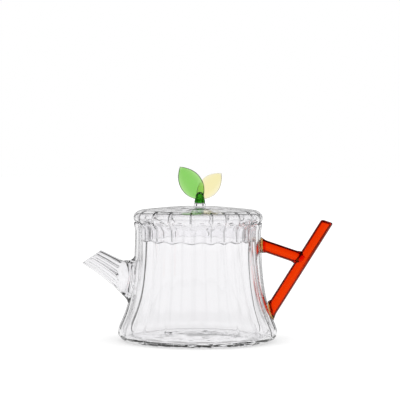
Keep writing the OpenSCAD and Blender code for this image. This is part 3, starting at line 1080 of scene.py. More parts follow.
@dataclass
class Spout:
    """The fluted spout, with the smooth socket by which it grows out of the wall.

    Attributes:
        vessel: the body that it grows out of.
        height: where its axis meets the wall.
        rise: its axis's angle above level.
        reach: length of the axis, and socket_reach the part of it inside the socket.
        mouth_slant: lean of the mouth, and seal_slant of the seal between socket and tube.
        sag: how far the tube's underside is drawn in half way.
        flute_start: how steeply the fine flutes deepen from the seal.
        groove_width: width of the groove between two fine flutes, as a share of half a flute's wave.
        gathering: how far the facets gather towards the fine flutes' creases.
        socket_neck: length over which the socket has the tube's direction.
        socket_fall: how far that direction falls under the spout.
        foot_middle: height of the middle of the socket's oval foot, which foot_height and foot_width give.
        foot_sunk: how far the form starts behind the wall, as a share of the wall, and the channel in metres.
        foot_spread: size of that start against the foot's.
        foot_draw: size at which the socket's curve leaves the foot.
        foot_lift: distance from the wall at which it does, for the form and the channel.
        band: a quarter of the glass that the channel leaves across the foot.
        rings: rings of the socket, of the tube and of the mouth's rounding.
        turns: points of a ring.
    """

    vessel: Vessel
    height: float = 48.6 * MM
    rise: float = math.radians(33)
    reach: float = 40.8 * MM
    mouth_radius: float = 9.1 * MM
    seal_radius: float = 11.9 * MM
    mouth_slant: float = math.radians(22.8)
    seal_slant: float = math.radians(-26.3)
    sag: float = 1.2 * MM
    flutes: int = 16
    flute_depth: float = 0.3 * MM
    flute_start: float = 6
    groove: float = 0.6 * MM
    groove_width: float = 0.22
    gathering: float = 0.6
    wall: float = 1.1 * MM
    socket_reach: float = 11.4 * MM
    socket_neck: float = 4.5 * MM
    socket_fall: float = math.radians(25)
    foot_middle: float = 51.5 * MM
    foot_height: float = 39.5 * MM
    foot_width: float = 32 * MM
    foot_sunk: Point2 = (0.75, 2.5 * MM)
    foot_spread: float = 1.06
    foot_draw: float = 0.8
    foot_lift: Point2 = (1.6 * MM, 1.2 * MM)
    band: float = 2.4 * MM
    rings: tuple[int, int, int] = (18, 22, 5)
    turns: int = 288

    _tree: bpy.types.NodeTree | None = field(default=None, repr=False)

    @property
    def turn(self) -> np.ndarray:
        """Angles of the points of a ring, gathered towards the fine flutes' creases."""
        even = np.arange(self.turns) * math.tau / self.turns
        return even + np.sin(even * self.flutes) * self.gathering / self.flutes

    @property
    def root(self) -> np.ndarray:
        """Where the spout's axis leaves the wall."""
        return np.array([-self.vessel.radius_at(self.height, math.pi), 0.0, self.height])

    @property
    def along(self) -> np.ndarray:
        """Direction of the spout's axis."""
        return np.array([-math.cos(self.rise), 0.0, math.sin(self.rise)])

    @property
    def up(self) -> np.ndarray:
        """Direction across the axis towards the top of the spout."""
        return np.array([math.sin(self.rise), 0.0, math.cos(self.rise)])

    def axis_ring(self, distance: float, radius: float, slant: float = 0.0, lift: float = 0.0) -> np.ndarray:
        """A ring round the axis, leaning by a slant and raised by a lift."""
        turn = self.turn
        back = distance - radius * np.cos(turn) * math.tan(slant)
        across = np.outer(np.cos(turn), self.up) + np.outer(np.sin(turn), (0.0, 1.0, 0.0))
        return self.root + np.outer(back, self.along) + radius * across + lift * self.up

    def tube_ring(self, share: float, shrink: float, length: float) -> np.ndarray:
        """A ring of the tube at a share of its length, its underside drawn in half way."""
        bow = 2 * self.sag * share * (1 - share)
        radius = self.seal_radius + (self.mouth_radius - self.seal_radius) * share - shrink - bow
        slant = self.seal_slant + (self.mouth_slant - self.seal_slant) * share
        return self.axis_ring(self.socket_reach + length * share, radius, slant, bow)

    def wall_ring(self, height: float, width: float, gap: float) -> np.ndarray:
        """An oval on the wall round the spout's root, out from the wall by a gap."""
        turn = self.turn
        y, z = width / 2 * np.sin(turn), self.foot_middle + height / 2 * np.cos(turn)
        radius = self.vessel.radius_at(z, math.pi - np.arcsin(y / self.vessel.crown_radius(z))) + gap
        return np.column_stack([-np.sqrt(radius**2 - y**2), y, z])

    def socket_rings(self, inner: bool) -> list[np.ndarray]:
        """Rings from behind the wall to the seal between socket and tube.

        Args:
            inner: whether they are the channel's.

        Returns:
            The rings, the last one the seal's.
        """
        wall = self.vessel.wall
        gap, shrink = (-wall, self.wall) if inner else (0.0, 0.0)
        sunk = self.foot_sunk[1] if inner else self.foot_sunk[0] * wall
        lift = self.foot_lift[1] if inner else self.foot_lift[0]
        margin = 4 * self.band if inner else 0.0
        high, wide = self.foot_height - margin, self.foot_width - margin
        spread, draw = self.foot_spread, self.foot_draw
        foot = self.wall_ring(high, wide, gap)
        lifted = self.wall_ring(draw * high, draw * wide, gap + lift)
        end = self.tube_ring(0.0, shrink, 0.0)
        fall = self.socket_fall * (1 - np.cos(self.turn))
        neck = end + self.socket_neck * np.column_stack([np.cos(fall), 0 * fall, -np.sin(fall)])
        count = self.rings[0]
        curve = [cubic((foot, lifted, neck, end), i / count) for i in range(count + 1)]
        return [self.wall_ring(high * spread, wide * spread, gap - sunk), *curve]

    def solid(self, name: str, inner: bool) -> bpy.types.Object:
        """The spout's outer form, or the channel through it, as a closed solid.

        Args:
            name: the new object's name.
            inner: whether to make the channel.

        Returns:
            The solid, with its fine flutes.
        """
        shrink, depth = (self.wall, 0.0) if inner else (0.0, self.flute_depth)
        rings = self.socket_rings(inner)
        carve = [0.0] * len(rings)
        length, lip = self.reach - self.socket_reach, self.wall / 2
        _, tube_rings, lip_rings = self.rings
        for share in (i / tube_rings for i in range(1, tube_rings + 1)):
            rings.append(self.tube_ring(share, shrink, length - lip))
            carve.append(depth * ease(share * self.flute_start))
        mouth = self.mouth_radius - shrink
        for turn in (math.pi / 2 * i / lip_rings for i in range(1, lip_rings + 1)):
            bulge = lip * (1 - math.cos(turn))
            radius = mouth + bulge if inner else mouth - bulge
            rings.append(self.axis_ring(self.reach - lip + lip * math.sin(turn), radius, self.mouth_slant))
            carve.append(depth)
        if inner:
            rings.append(self.axis_ring(self.reach + 2 * lip, mouth + lip, self.mouth_slant))
            carve.append(depth)
        inward = np.concatenate([ring.mean(0) - ring for ring in rings])
        inward /= np.linalg.norm(inward, axis=1)[:, None]
        around = np.tile(self.turn, len(rings))
        attributes = {"around": around, "inward": inward, "carve": np.repeat(carve, self.turns)}
        groove = 0.0 if inner else self.groove / self.flute_depth
        values = {"Flutes": self.flutes, "Groove": groove, "Groove Width": self.groove_width}
        return run_geometry_tree(loft(name, rings, attributes), self.carving_tree(values), name, values)

    def carving_tree(self, inputs: dict[str, object]) -> bpy.types.NodeTree:
        """The tree that draws fine flutes into a loft.

        Args:
            inputs: the tree's inputs and what they are by default.

        Returns:
            The geometry tree, made once.
        """
        if self._tree is None:
            graph, value, sink = geometry_group("fine_flutes", inputs)
            around, carve, inward = (
                graph.call("GeometryNodeInputNamedAttribute", {"Name": label}, data_type=kind)
                for label, kind in (("around", "FLOAT"), ("carve", "FLOAT"), ("inward", "FLOAT_VECTOR"))
            )
            swing = graph.math("COSINE", around * (value["Flutes"] * 0.5))
            near = (swing / value["Groove Width"]) ** 2.0
            cut = graph.math("EXPONENT", near * -1.0) * value["Groove"]
            depth = carve * (1.0 - abs(swing) + cut)
            offset = graph.call("ShaderNodeVectorMath", {0: inward, "Scale": depth}, operation="SCALE")
            shape = graph.call("GeometryNodeSetPosition", {"Geometry": value["Form"], "Offset": offset})
            end_geometry(graph, shape, value, sink)
            self._tree = graph.tree
        return self._tree

    def join(self, shell: bpy.types.Object) -> bpy.types.Object:
        """Grows the spout out of the vessel's shell.

        Args:
            shell: the vessel.

        Returns:
            Vessel and spout as one blown piece.
        """
        pot = shell
        for name, inner, how in (("spout_form", False, Join.ADD), ("spout_channel", True, Join.CUT)):
            form = self.solid(name, inner)
            turn_outwards(form)
            pot = combine(pot, form, how)
        shade_smooth(pot)
        return pot


# ---- Handle ----


class Frame(NamedTuple):
    """Where a tube leaves the wall, its direction, and the direction across it in the handle's plane."""

    foot: np.ndarray
    along: np.ndarray
    across: np.ndarray


@dataclass
class Handle:
    """The forked handle: a slanted bar, a branch to the neck, and the beads that seal both to the wall.

    Attributes:
        vessel: the body that it is sealed to.
        bar_lean: the bar's angle from upright.
        bar_cut: slant of its upper end, which grows over the shares cut_from of its length.
        bar_edge: radius of that end's rounding.
        bar_dimple: radius of the flat spot left where the flame closed the end, and how deep it lies.
        branch_fall: the branch's angle below level.
        bead: thickness of a bead, and bead_lip how far it stands out round a tube's foot.
        bead_shares: radii of the rings on a bead's two faces, as shares of its own.
        flare: how far a tube's melted foot widens, over flare_length and by flare_power.
        seal: gap in the place of a fused seam.
        settle: tube radii over which a ring turns square from the wall, and from the bar.
        settling: distances from the wall of the first and the last ring that is still turning.
        straight_from: distance from the wall at which the bar's rings are square.
        melt: share of the branch's last stretch over which its rings turn towards the bar.
        rings: rings of a tube's melted foot, of the stretch that settles and of the plain one.
        end_rings: rings over the rounding of the bar's end, outside and inside.
        search: how far to both sides of a ring the wall is looked for, halved halvings times.
        turns: points of a ring.
    """

    vessel: Vessel
    tube_radius: float = 5.1 * MM
    tube_wall: float = 0.9 * MM
    bar_height: float = 24.7 * MM
    bar_lean: float = math.radians(31.9)
    bar_length: float = 90.8 * MM
    bar_cut: float = math.radians(14)
    cut_from: Point2 = (0.8, 0.98)
    bar_edge: float = 1.7 * MM
    bar_dimple: Point2 = (1.6 * MM, 0.1 * MM)
    branch_height: float = 81.5 * MM
    branch_fall: float = math.radians(18.5)
    bead: float = 1.3 * MM
    bead_lip: float = 0.5 * MM
    bead_shares: Three = (0.25, 0.6, 0.8)
    flare: float = 0.8 * MM
    flare_length: float = 4 * MM
    flare_power: float = 1.5
    seal: float = 0.1 * MM
    settle: Point2 = (2.5, 2.2)
    settling: Point2 = (5.5 * MM, 20 * MM)
    straight_from: float = 24 * MM
    melt: float = 0.9
    rings: tuple[int, int, int] = (9, 6, 12)
    end_rings: tuple[int, int] = (8, 6)
    search: float = 20 * MM
    halvings: int = 30
    turns: int = 160

    def frame_at(self, height: float, tilt: float) -> Frame:
        """The frame of a tube that leaves the wall at a height, tilted from upright."""
        foot = np.array([self.vessel.radius_at(height, 0.0), 0.0, height])
        along = np.array([math.sin(tilt), 0.0, math.cos(tilt)])
        across = np.array([math.cos(tilt), 0.0, -math.sin(tilt)])
        return Frame(foot, along, across)

    @property
    def bar(self) -> Frame:
        """Frame of the bar."""
        return self.frame_at(self.bar_height, self.bar_lean)

    @property
    def branch(self) -> Frame:
        """Frame of the branch."""
        return self.frame_at(self.branch_height, math.pi / 2 + self.branch_fall)

    @property
    def bore(self) -> float:
        """Radius of the hole along a tube."""
        return self.tube_radius - self.tube_wall

    def branch_length(self) -> float:
        """Length of the branch from the wall to the bar's axis."""
        bar, branch = self.bar, self.branch
        step = bar.foot - branch.foot
        system = np.array([[branch.along[0], -bar.along[0]], [branch.along[2], -bar.along[2]]])
        return float(np.linalg.solve(system, [step[0], step[2]])[0])

    def ring(self, frame: Frame, distance: float, radius: float) -> np.ndarray:
        """A ring square to a tube's axis."""
        turn = np.arange(self.turns) * math.tau / self.turns
        spread = np.outer(np.cos(turn), frame.across) + np.outer(np.sin(turn), (0.0, 1.0, 0.0))
        return frame.foot + distance * frame.along + radius * spread

    def wall_ring(self, frame: Frame, radius: float, gap: float) -> np.ndarray:
        """The ring in which a tube of a radius meets the wall, grown outwards by a gap."""
        start = self.ring(frame, 0.0, radius)
        low, high = np.full(self.turns, -self.search), np.full(self.turns, self.search)
        for _ in range(self.halvings):
            middle = (low + high) / 2
            x, y, z = (start + np.outer(middle, frame.along)).T
            outside = np.hypot(x, y) - gap > self.vessel.radius_at(z, np.arctan2(y, x))
            low, high = np.where(outside, low, middle), np.where(outside, middle, high)
        return start + np.outer(low, frame.along)

    def conform(self, frame: Frame, radius: float, distance: float) -> np.ndarray:
        """A ring that follows the bead on the wall near it and turns square further along the tube."""
        settle = 1 - ease(distance / (self.settle[0] * self.tube_radius))
        on_wall = self.wall_ring(frame, radius, self.bead + self.seal)
        square = self.ring(frame, 0.0, radius)
        return square + (on_wall - square) * settle + distance * frame.along

    def foot_radius(self, distance: float) -> float:
        """Radius of a tube's melted foot at a distance from its seam."""
        return self.tube_radius + self.flare * (1 - ease(distance / self.flare_length)) ** self.flare_power

    def bar_skin(self, radius: float, length: float, end_steps: int, melted: bool) -> list[np.ndarray]:
        """Rings of the bar's outside or of its bore, from the bead to the rounded end.

        Args:
            radius: radius of the rings past the foot.
            length: distance from the wall to the end.
            end_steps: rings over the end's rounding.
            melted: whether the foot widens.

        Returns:
            The rings, square to the axis past the foot.
        """
        frame, edge = self.bar, self.bar_edge
        rings = [self.conform(frame, self.foot_radius(d) if melted else radius, d) for d in self.stations()]
        plain = np.linspace(self.straight_from, length - edge, self.rings[2])
        rings += [self.ring(frame, d, radius) for d in plain]
        for turn in (math.pi / 2 * i / end_steps for i in range(1, end_steps + 1)):
            narrow = radius - edge * (1 - math.cos(turn))
            rings.append(self.ring(frame, length - edge + edge * math.sin(turn), narrow))
        return rings

    def build_bar(self) -> bpy.types.Object:
        """Makes the bar, sealed at its upper end.

        Returns:
            The closed, hollow bar.
        """
        outer_end, inner_end = self.end_rings
        outer = self.bar_skin(self.tube_radius, self.bar_length, outer_end, melted=True)
        dimple, deep = self.bar_dimple
        outer.append(self.ring(self.bar, self.bar_length - deep, dimple))
        inner = self.bar_skin(self.bore, self.bar_length - self.tube_wall, inner_end, melted=False)
        return finished(loft("bar_tube", [self.slanted(ring) for ring in (*reversed(inner), *outer)]))

    def slanted(self, ring: np.ndarray) -> np.ndarray:
        """A ring of the bar, drawn over towards the slanted cut of its upper end."""
        foot, along, across = self.bar
        first, last = self.cut_from
        near = np.clip(((ring - foot) @ along / self.bar_length - first) / (last - first), 0.0, 1.0)
        return ring + np.outer(near * ((ring - foot) @ across) * math.tan(self.bar_cut), along)

    def stations(self) -> list[float]:
        """Distances of the rings over a tube's foot."""
        melted, settling, _ = self.rings
        return [*np.linspace(0.0, self.flare_length, melted), *np.linspace(*self.settling, settling)]

    def build_branch(self) -> bpy.types.Object:
        """Makes the branch, whose far end is melted round the bar.

        Returns:
            The closed, hollow branch.
        """
        frame, end = self.branch, self.branch_length()
        stations = self.stations()[:-2]
        outer = [self.conform(frame, self.foot_radius(d), d) for d in stations]
        inner = [self.conform(frame, self.bore, d) for d in stations]
        for share in np.linspace(0.0, 1.0, self.rings[2]):
            back = (1 - share) * (end - stations[-1] - self.tube_radius) * self.melt
            outer.append(self.on_bar(frame, self.foot_radius(back), back))
            inner.append(self.on_bar(frame, self.bore, back))
        return finished(loft("branch_tube", [*reversed(inner), *outer], looped=True))

    def on_bar(self, frame: Frame, radius: float, back: float) -> np.ndarray:
        """A ring of the branch that follows the bar's side near it and turns square further back."""
        bar, along = self.bar, frame.along
        reach = self.tube_radius + self.seal
        square = self.ring(frame, 0.0, radius)
        a = along - bar.along * float(along @ bar.along)
        points = []
        for start in square:
            rel = start - bar.foot
            b = rel - bar.along * float(rel @ bar.along)
            aa, ab, bb = float(a @ a), float(a @ b), float(b @ b) - reach**2
            root = math.sqrt(max(ab**2 - aa * bb, 0.0))
            points.append((-ab - root) / aa)
        settle = 1 - ease(back / (self.settle[1] * self.tube_radius))
        plain = self.branch_length() - reach
        distance = plain + (np.array(points) - plain) * settle - back
        return square + np.outer(distance, along)

    def build_bead(self, name: str, frame: Frame) -> bpy.types.Object:
        """Makes the bead of glass between the wall and a tube's foot.

        Args:
            name: the piece's name.
            frame: the tube's frame.

        Returns:
            The closed pad.
        """
        wide = self.tube_radius + self.flare + self.bead_lip
        low, high = self.seal, self.bead - self.seal
        middle, half = (low + high) / 2, (high - low) / 2
        places = [(wide * share, low) for share in self.bead_shares]
        for turn in (-math.pi / 2 + math.pi * i / EDGE_STEPS for i in range(EDGE_STEPS + 1)):
            places.append((wide - half + half * math.cos(turn), middle + half * math.sin(turn)))
        places += [(wide * share, high) for share in reversed(self.bead_shares)]
        return finished(loft(name, [self.wall_ring(frame, radius, gap) for radius, gap in places]))


# ---- Lid and knob ----


@dataclass
class Lid:
    """The blown lid: a dome, a rounded shoulder that nests on the rim, and a flange in the neck.

    Attributes:
        vessel: the body that it sits on.
        overhang: how far the shoulder stands out past the neck.
        shoulder_height: height of the shoulder's widest ring above the rim, crown_height that of its top
            and dome_height that of the dome's middle.
        shoulder_in: how far in from the widest ring the shoulder's top is.
        shoulder_hold: how far the shoulder's curve keeps to the upright, and then how far out and down it
            comes to its top.
        dome_hold: how far the dome's curve carries the shoulder on, inwards and up, and the share of its
            radius from which it is level.
        flange_room: room between the flange and the neck.
        flange_wave: half height of the scallops of the flange's edge.
        flange_groove: depth of the fine grooves on the flange.
        flange_heights: depths below the rim of the flange's two middle control points and of its top.
        throat_hold: depth below the rim to which the flange's line is carried on.
        seat_hold: how far the seat's slope is carried on, down and up.
        shoulder_fall: how far below the widest ring the underside keeps to the upright.
        seat_gap: room between the seat and the lip.
        seat_groove: share of the dome's grooves that reach the seat.
        ripple: height of the ripples in the middle of the dome, of which ripple_out is left at its edge.
        waver: stray of the outside, and inner_waver of the inside.
        pad: radii of the middle's flat pad and of its curve's control points.
    """

    vessel: Vessel
    overhang: float = 1.4 * MM
    shoulder_height: float = 4.5 * MM
    crown_height: float = 11.1 * MM
    dome_height: float = 14.1 * MM
    shoulder_in: float = 7.5 * MM
    shoulder_hold: Three = (3.6 * MM, 4.6 * MM, 0.5 * MM)
    dome_hold: Three = (12 * MM, 1 * MM, 0.45)
    wall: float = 1.7 * MM
    flange_room: float = 2.2 * MM
    flange_depth: float = 14 * MM
    flange_wave: float = 0.75 * MM
    flange_groove: float = 0.45 * MM
    flange_edge_crease: float = 0.75
    flange_heights: Three = (11 * MM, 8 * MM, 4.5 * MM)
    throat_hold: float = 2.6 * MM
    seat_hold: Point2 = (1.5 * MM, 1.7 * MM)
    shoulder_fall: float = 2.6 * MM
    seat_gap: float = 0.3 * MM
    seat_groove: float = 0.6
    groove: float = 0.8 * MM
    ripple: float = 0.3 * MM
    ripple_out: float = 0.3
    waver: float = 0.05 * MM
    inner_waver: float = 0.16 * MM
    pad: Three = (7.1 * MM, 5 * MM, 2 * MM)

    @property
    def top(self) -> float:
        """Height of the dome's middle."""
        return self.vessel.flutes.rim_height + self.dome_height

    def outline(self) -> Outline:
        """The lid's section, from the middle inside round the flange's edge and over the dome.

        Returns:
            The outline, both of whose ends are on the axis.
        """
        pot = self.vessel
        rim, depth, wave, top = pot.flutes.rim_height, pot.crease, pot.rim_wave, self.top
        full, waver = (depth, depth), self.waver
        thin, seat_fine, fine = self.flange_groove, self.seat_groove * self.groove, self.groove
        flange = pot.neck_radius - pot.wall - depth / 2 - self.flange_room
        edge_height = rim - self.flange_depth
        first, second, last = self.flange_heights
        outside = Outline([OutlinePoint(flange, edge_height, depth, self.flange_wave)])
        down = [(flange, edge_height), (flange, rim - first), (flange, rim - second), (flange, rim - last)]
        outside.cubic(down, 10, crease=full, wave=(self.flange_wave, wave), groove=(thin, thin))

        seat = (pot.lip_radius - pot.wall - self.seat_gap, rim - pot.wall / 2 + 1.5 * self.seat_gap)
        low, high = self.seat_hold
        throat = [down[-1], (flange, rim - self.throat_hold), (seat[0] - low, seat[1] - low), seat]
        outside.cubic(throat, 8, crease=full, wave=(wave, wave), groove=(thin, seat_fine))

        widest = (pot.neck_radius + self.overhang, rim + self.shoulder_height)
        under = [seat, (seat[0] + high, seat[1] + high), (widest[0], widest[1] - self.shoulder_fall), widest]
        outside.cubic(under, 10, crease=full, wave=(wave, 0.0), waver=(0.0, waver), groove=(seat_fine, fine))

        crown = (widest[0] - self.shoulder_in, rim + self.crown_height)
        up, out, fall = self.shoulder_hold
        over = [widest, (widest[0], widest[1] + up), (crown[0] + out, crown[1] - fall), crown]
        outside.cubic(over, 12, crease=full, waver=(waver, waver), groove=(fine, fine))

        inwards, rise, level = self.dome_hold
        pad, *pad_curve = self.pad
        dome = [crown, (crown[0] - inwards, crown[1] + rise), (level * crown[0], top), (pad, top)]
        ripple = (self.ripple_out * self.ripple, self.ripple)
        outside.cubic(dome, 26, crease=(depth, 0.0), ripple=ripple, waver=(waver, 0.0), groove=(fine, 0.0))
        outside.cubic([(radius, top) for radius in (pad, *pad_curve, 0.0)], 4)
        outside.points[-1] = OutlinePoint(0.0, top)
        inside = outside.inset(self.wall, pot.inner_crease_share, self.inner_waver)
        half = self.wall / 2
        edge_crease = depth * self.flange_edge_crease
        edge = rounded_edge((flange - half, edge_height), -half, crease=edge_crease, wave=self.flange_wave)
        return Outline([*reversed(inside.points), *edge, *outside.points])

    def build(self) -> bpy.types.Object:
        """Makes the lid's shell."""
        return FlutedShell.make("blown_lid", self.outline(), self.vessel.flutes, front_groove=1.0)


@dataclass(frozen=True)
class LeafShape:
    """The size and stance of one leaf.

    Attributes:
        name: the piece's name.
        length: from the bud's centre to the tip.
        half_width: half of its greatest width.
        lean: its lean from upright, positive towards the handle.
        side: -1 for the front leaf and 1 for the back one.
    """

    name: str
    length: float
    half_width: float
    lean: float
    side: int


@dataclass
class Knob:
    """The clear collar, the deep green stem with its bud, and the two leaves.

    Attributes:
        base: height of the lid's middle.
        shift: how far the knob sits off the axis, towards the handle.
        seal: gap in the place of a fused seam.
        core: radius of the innermost ring of a flat face.
        collar_flat: radius to which the collar's two faces are flat, and stem_flat that of the stem's foot.
        collar_round: width of the collar's rounded side, as a share of half its height.
        foot_round: radius of the stem's rounded foot, and foot_edge that of its first facet.
        waist: how much narrower the stem is where it leaves its foot, waist_height as a share of its height.
        bud_hold: how far below the bud's centre the stem's line meets it, and how far outside it.
        leaf_cup: how far a leaf's edges and tip bend away from its middle.
        leaf_tilt: a leaf's tilt away from the other one, and leaf_space half the room between the two.
        leaf_power: fullness of a leaf's outline, and of its section sideways and through.
        leaf_fade: how soon, and how roundly, a leaf reaches its full thickness from an end.
        root_share: length of the root under the bud's centre, as a share of the leaf's.
        rings: rings of the collar's rounded side, of the stem's side and of a quarter of the bud.
        leaf_steps: steps between the rings of a leaf, and leaf_turns the points of a ring.
    """

    base: float
    shift: float = 1.2 * MM
    seal: float = 0.1 * MM
    core: float = 1.5 * MM
    collar_radius: float = 5.1 * MM
    collar_height: float = 2.5 * MM
    collar_flat: float = 3.4 * MM
    collar_round: float = 0.6
    stem_radius: float = 4.6 * MM
    stem_height: float = 9.6 * MM
    stem_flat: float = 3.2 * MM
    foot_round: float = 0.6 * MM
    foot_edge: Point2 = (0.5 * MM, 0.15 * MM)
    waist: float = 0.2 * MM
    waist_height: float = 0.3
    bud_radius: float = 3.7 * MM
    bud_hold: Point2 = (2 * MM, 0.15 * MM)
    leaf_thickness: float = 2.2 * MM
    leaf_cup: float = 1.6 * MM
    leaf_tilt: float = math.radians(8)
    leaf_space: float = 0.4 * MM
    leaf_power: Three = (2.2, 0.8, 0.7)
    leaf_fade: Point2 = (2.5, 0.6)
    root_share: float = 0.14
    rings: tuple[int, int, int] = (13, 12, 15)
    leaf_steps: int = 56
    leaf_turns: int = 64
    turns: int = 96

    @property
    def stem_base(self) -> float:
        """Height of the stem's foot."""
        return self.base + self.seal + self.collar_height + self.seal

    @property
    def bud_height(self) -> float:
        """Height of the bud's centre."""
        return self.stem_base + self.stem_height - self.bud_radius

    def revolve(self, name: str, section: Sequence[Point2]) -> bpy.types.Object:
        """Turns a section round the axis.

        Args:
            name: the new object's name.
            section: radius and height of each ring, upwards, none on the axis.

        Returns:
            The closed solid.
        """
        turn = np.arange(self.turns) * math.tau / self.turns
        rings = [
            np.column_stack([self.shift + r * np.cos(turn), r * np.sin(turn), np.full(self.turns, z)])
            for r, z in section
        ]
        return finished(loft(name, rings))

    def build_collar(self) -> bpy.types.Object:
        """Makes the collar, a low ring of clear glass with rounded edges."""
        low, high = self.base + self.seal, self.base + self.seal + self.collar_height
        half = self.collar_height / 2
        wide = half * self.collar_round
        bulge = [
            (self.collar_radius - wide + wide * math.cos(a), (low + high) / 2 + half * math.sin(a))
            for a in np.linspace(-math.pi / 2, math.pi / 2, self.rings[0])
        ]
        radii = (self.core, self.collar_flat)
        section = [*((r, low) for r in radii), *bulge, *((r, high) for r in reversed(radii))]
        return self.revolve("clear_collar", section)

    def stem_section(self, gap: float) -> list[Point2]:
        """The stem's section, grown by a gap.

        Args:
            gap: how far the section is grown.

        Returns:
            Radius and height of each ring.
        """
        base, bud = self.stem_base, self.bud_height
        foot, round_bud = self.stem_radius + gap, self.bud_radius + gap
        inwards, edge = self.foot_edge
        section = [(self.core, base - gap), (self.stem_flat, base - gap), (foot - inwards, base - gap)]
        section += [(foot - edge, base - gap + edge), (foot, base - gap + self.foot_round)]
        fall, out = self.bud_hold
        side = [
            (foot, base + self.foot_round),
            (self.stem_radius - self.waist + gap, base + self.waist_height * self.stem_height),
            (round_bud + out, bud - fall),
            (round_bud, bud),
        ]
        _, steps, bud_steps = self.rings
        section += [tuple(float(value) for value in cubic(side, i / steps)) for i in range(1, steps + 1)]
        turns = [math.pi / 2 * i / bud_steps for i in range(1, bud_steps)]
        return section + [(round_bud * math.cos(a), bud + round_bud * math.sin(a)) for a in turns]

    def build_stem(self) -> bpy.types.Object:
        """Makes the stem with its bud."""
        return self.revolve("stem_and_bud", self.stem_section(0.0))

    def leaf_rings(self, shape: LeafShape) -> list[np.ndarray]:
        """Rings of an upright leaf, from its root to its tip.

        Args:
            shape: the leaf's size.

        Returns:
            The rings, cupped towards -Y.
        """
        steps, turns = self.leaf_steps, self.leaf_turns
        outline, sideways, through = self.leaf_power
        soon, blunt = self.leaf_fade
        low = -self.root_share * shape.length
        turn = np.arange(turns) * math.tau / turns
        rings = []
        for k in range(1, steps):
            share = 0.5 - 0.5 * math.cos(math.pi * k / steps)
            width = 1 - abs(2 * share - 1) ** outline
            half = self.leaf_thickness / 2 * min(1.0, (soon * width) ** blunt)
            x = width * shape.half_width * np.sign(np.cos(turn)) * np.abs(np.cos(turn)) ** sideways
            y = half * np.sign(np.sin(turn)) * np.abs(np.sin(turn)) ** through
            y = y - self.leaf_cup * ((x / shape.half_width) ** 2 + share**2)
            rings.append(np.column_stack([x, y, np.full(turns, low + (shape.length - low) * share)]))
        return rings

    def build_leaf(self, shape: LeafShape) -> bpy.types.Object:
        """Makes one leaf, its root notched round the bud.

        Args:
            shape: the leaf's size and stance.

        Returns:
            The closed leaf.
        """
        leaf = loft(shape.name, self.leaf_rings(shape))
        flip = Matrix.Scale(-1, 4, (0, 1, 0)) if shape.side > 0 else Matrix.Identity(4)
        aside = shape.side * (self.leaf_thickness / 2 + self.leaf_space)
        leaf.data.transform(
            Matrix.Translation((self.shift, aside, self.bud_height))
            @ Matrix.Rotation(-shape.side * self.leaf_tilt, 4, "X")
            @ Matrix.Rotation(shape.lean, 4, "Y")
            @ flip
        )
        turn_outwards(leaf)
        leaf = combine(leaf, self.revolve("notch", self.stem_section(self.seal)), Join.CUT)
        shade_smooth(leaf)
        return leaf


# ---- Studio ----


@dataclass(frozen=True)
class Lamp:
    """A soft round lamp.

    Attributes:
        name: the lamp's name.
        place: where it hangs.
        power: its power in watts.
    """

    name: str
    place: Three
    power: float


def aimed(place: Vector, target: Vector) -> Matrix:
    """The stance of a camera or lamp at a place, looking at a target."""
    turn = (target - place).to_track_quat("-Z", "Y").to_matrix().to_4x4()
    return Matrix.Translation(place) @ turn


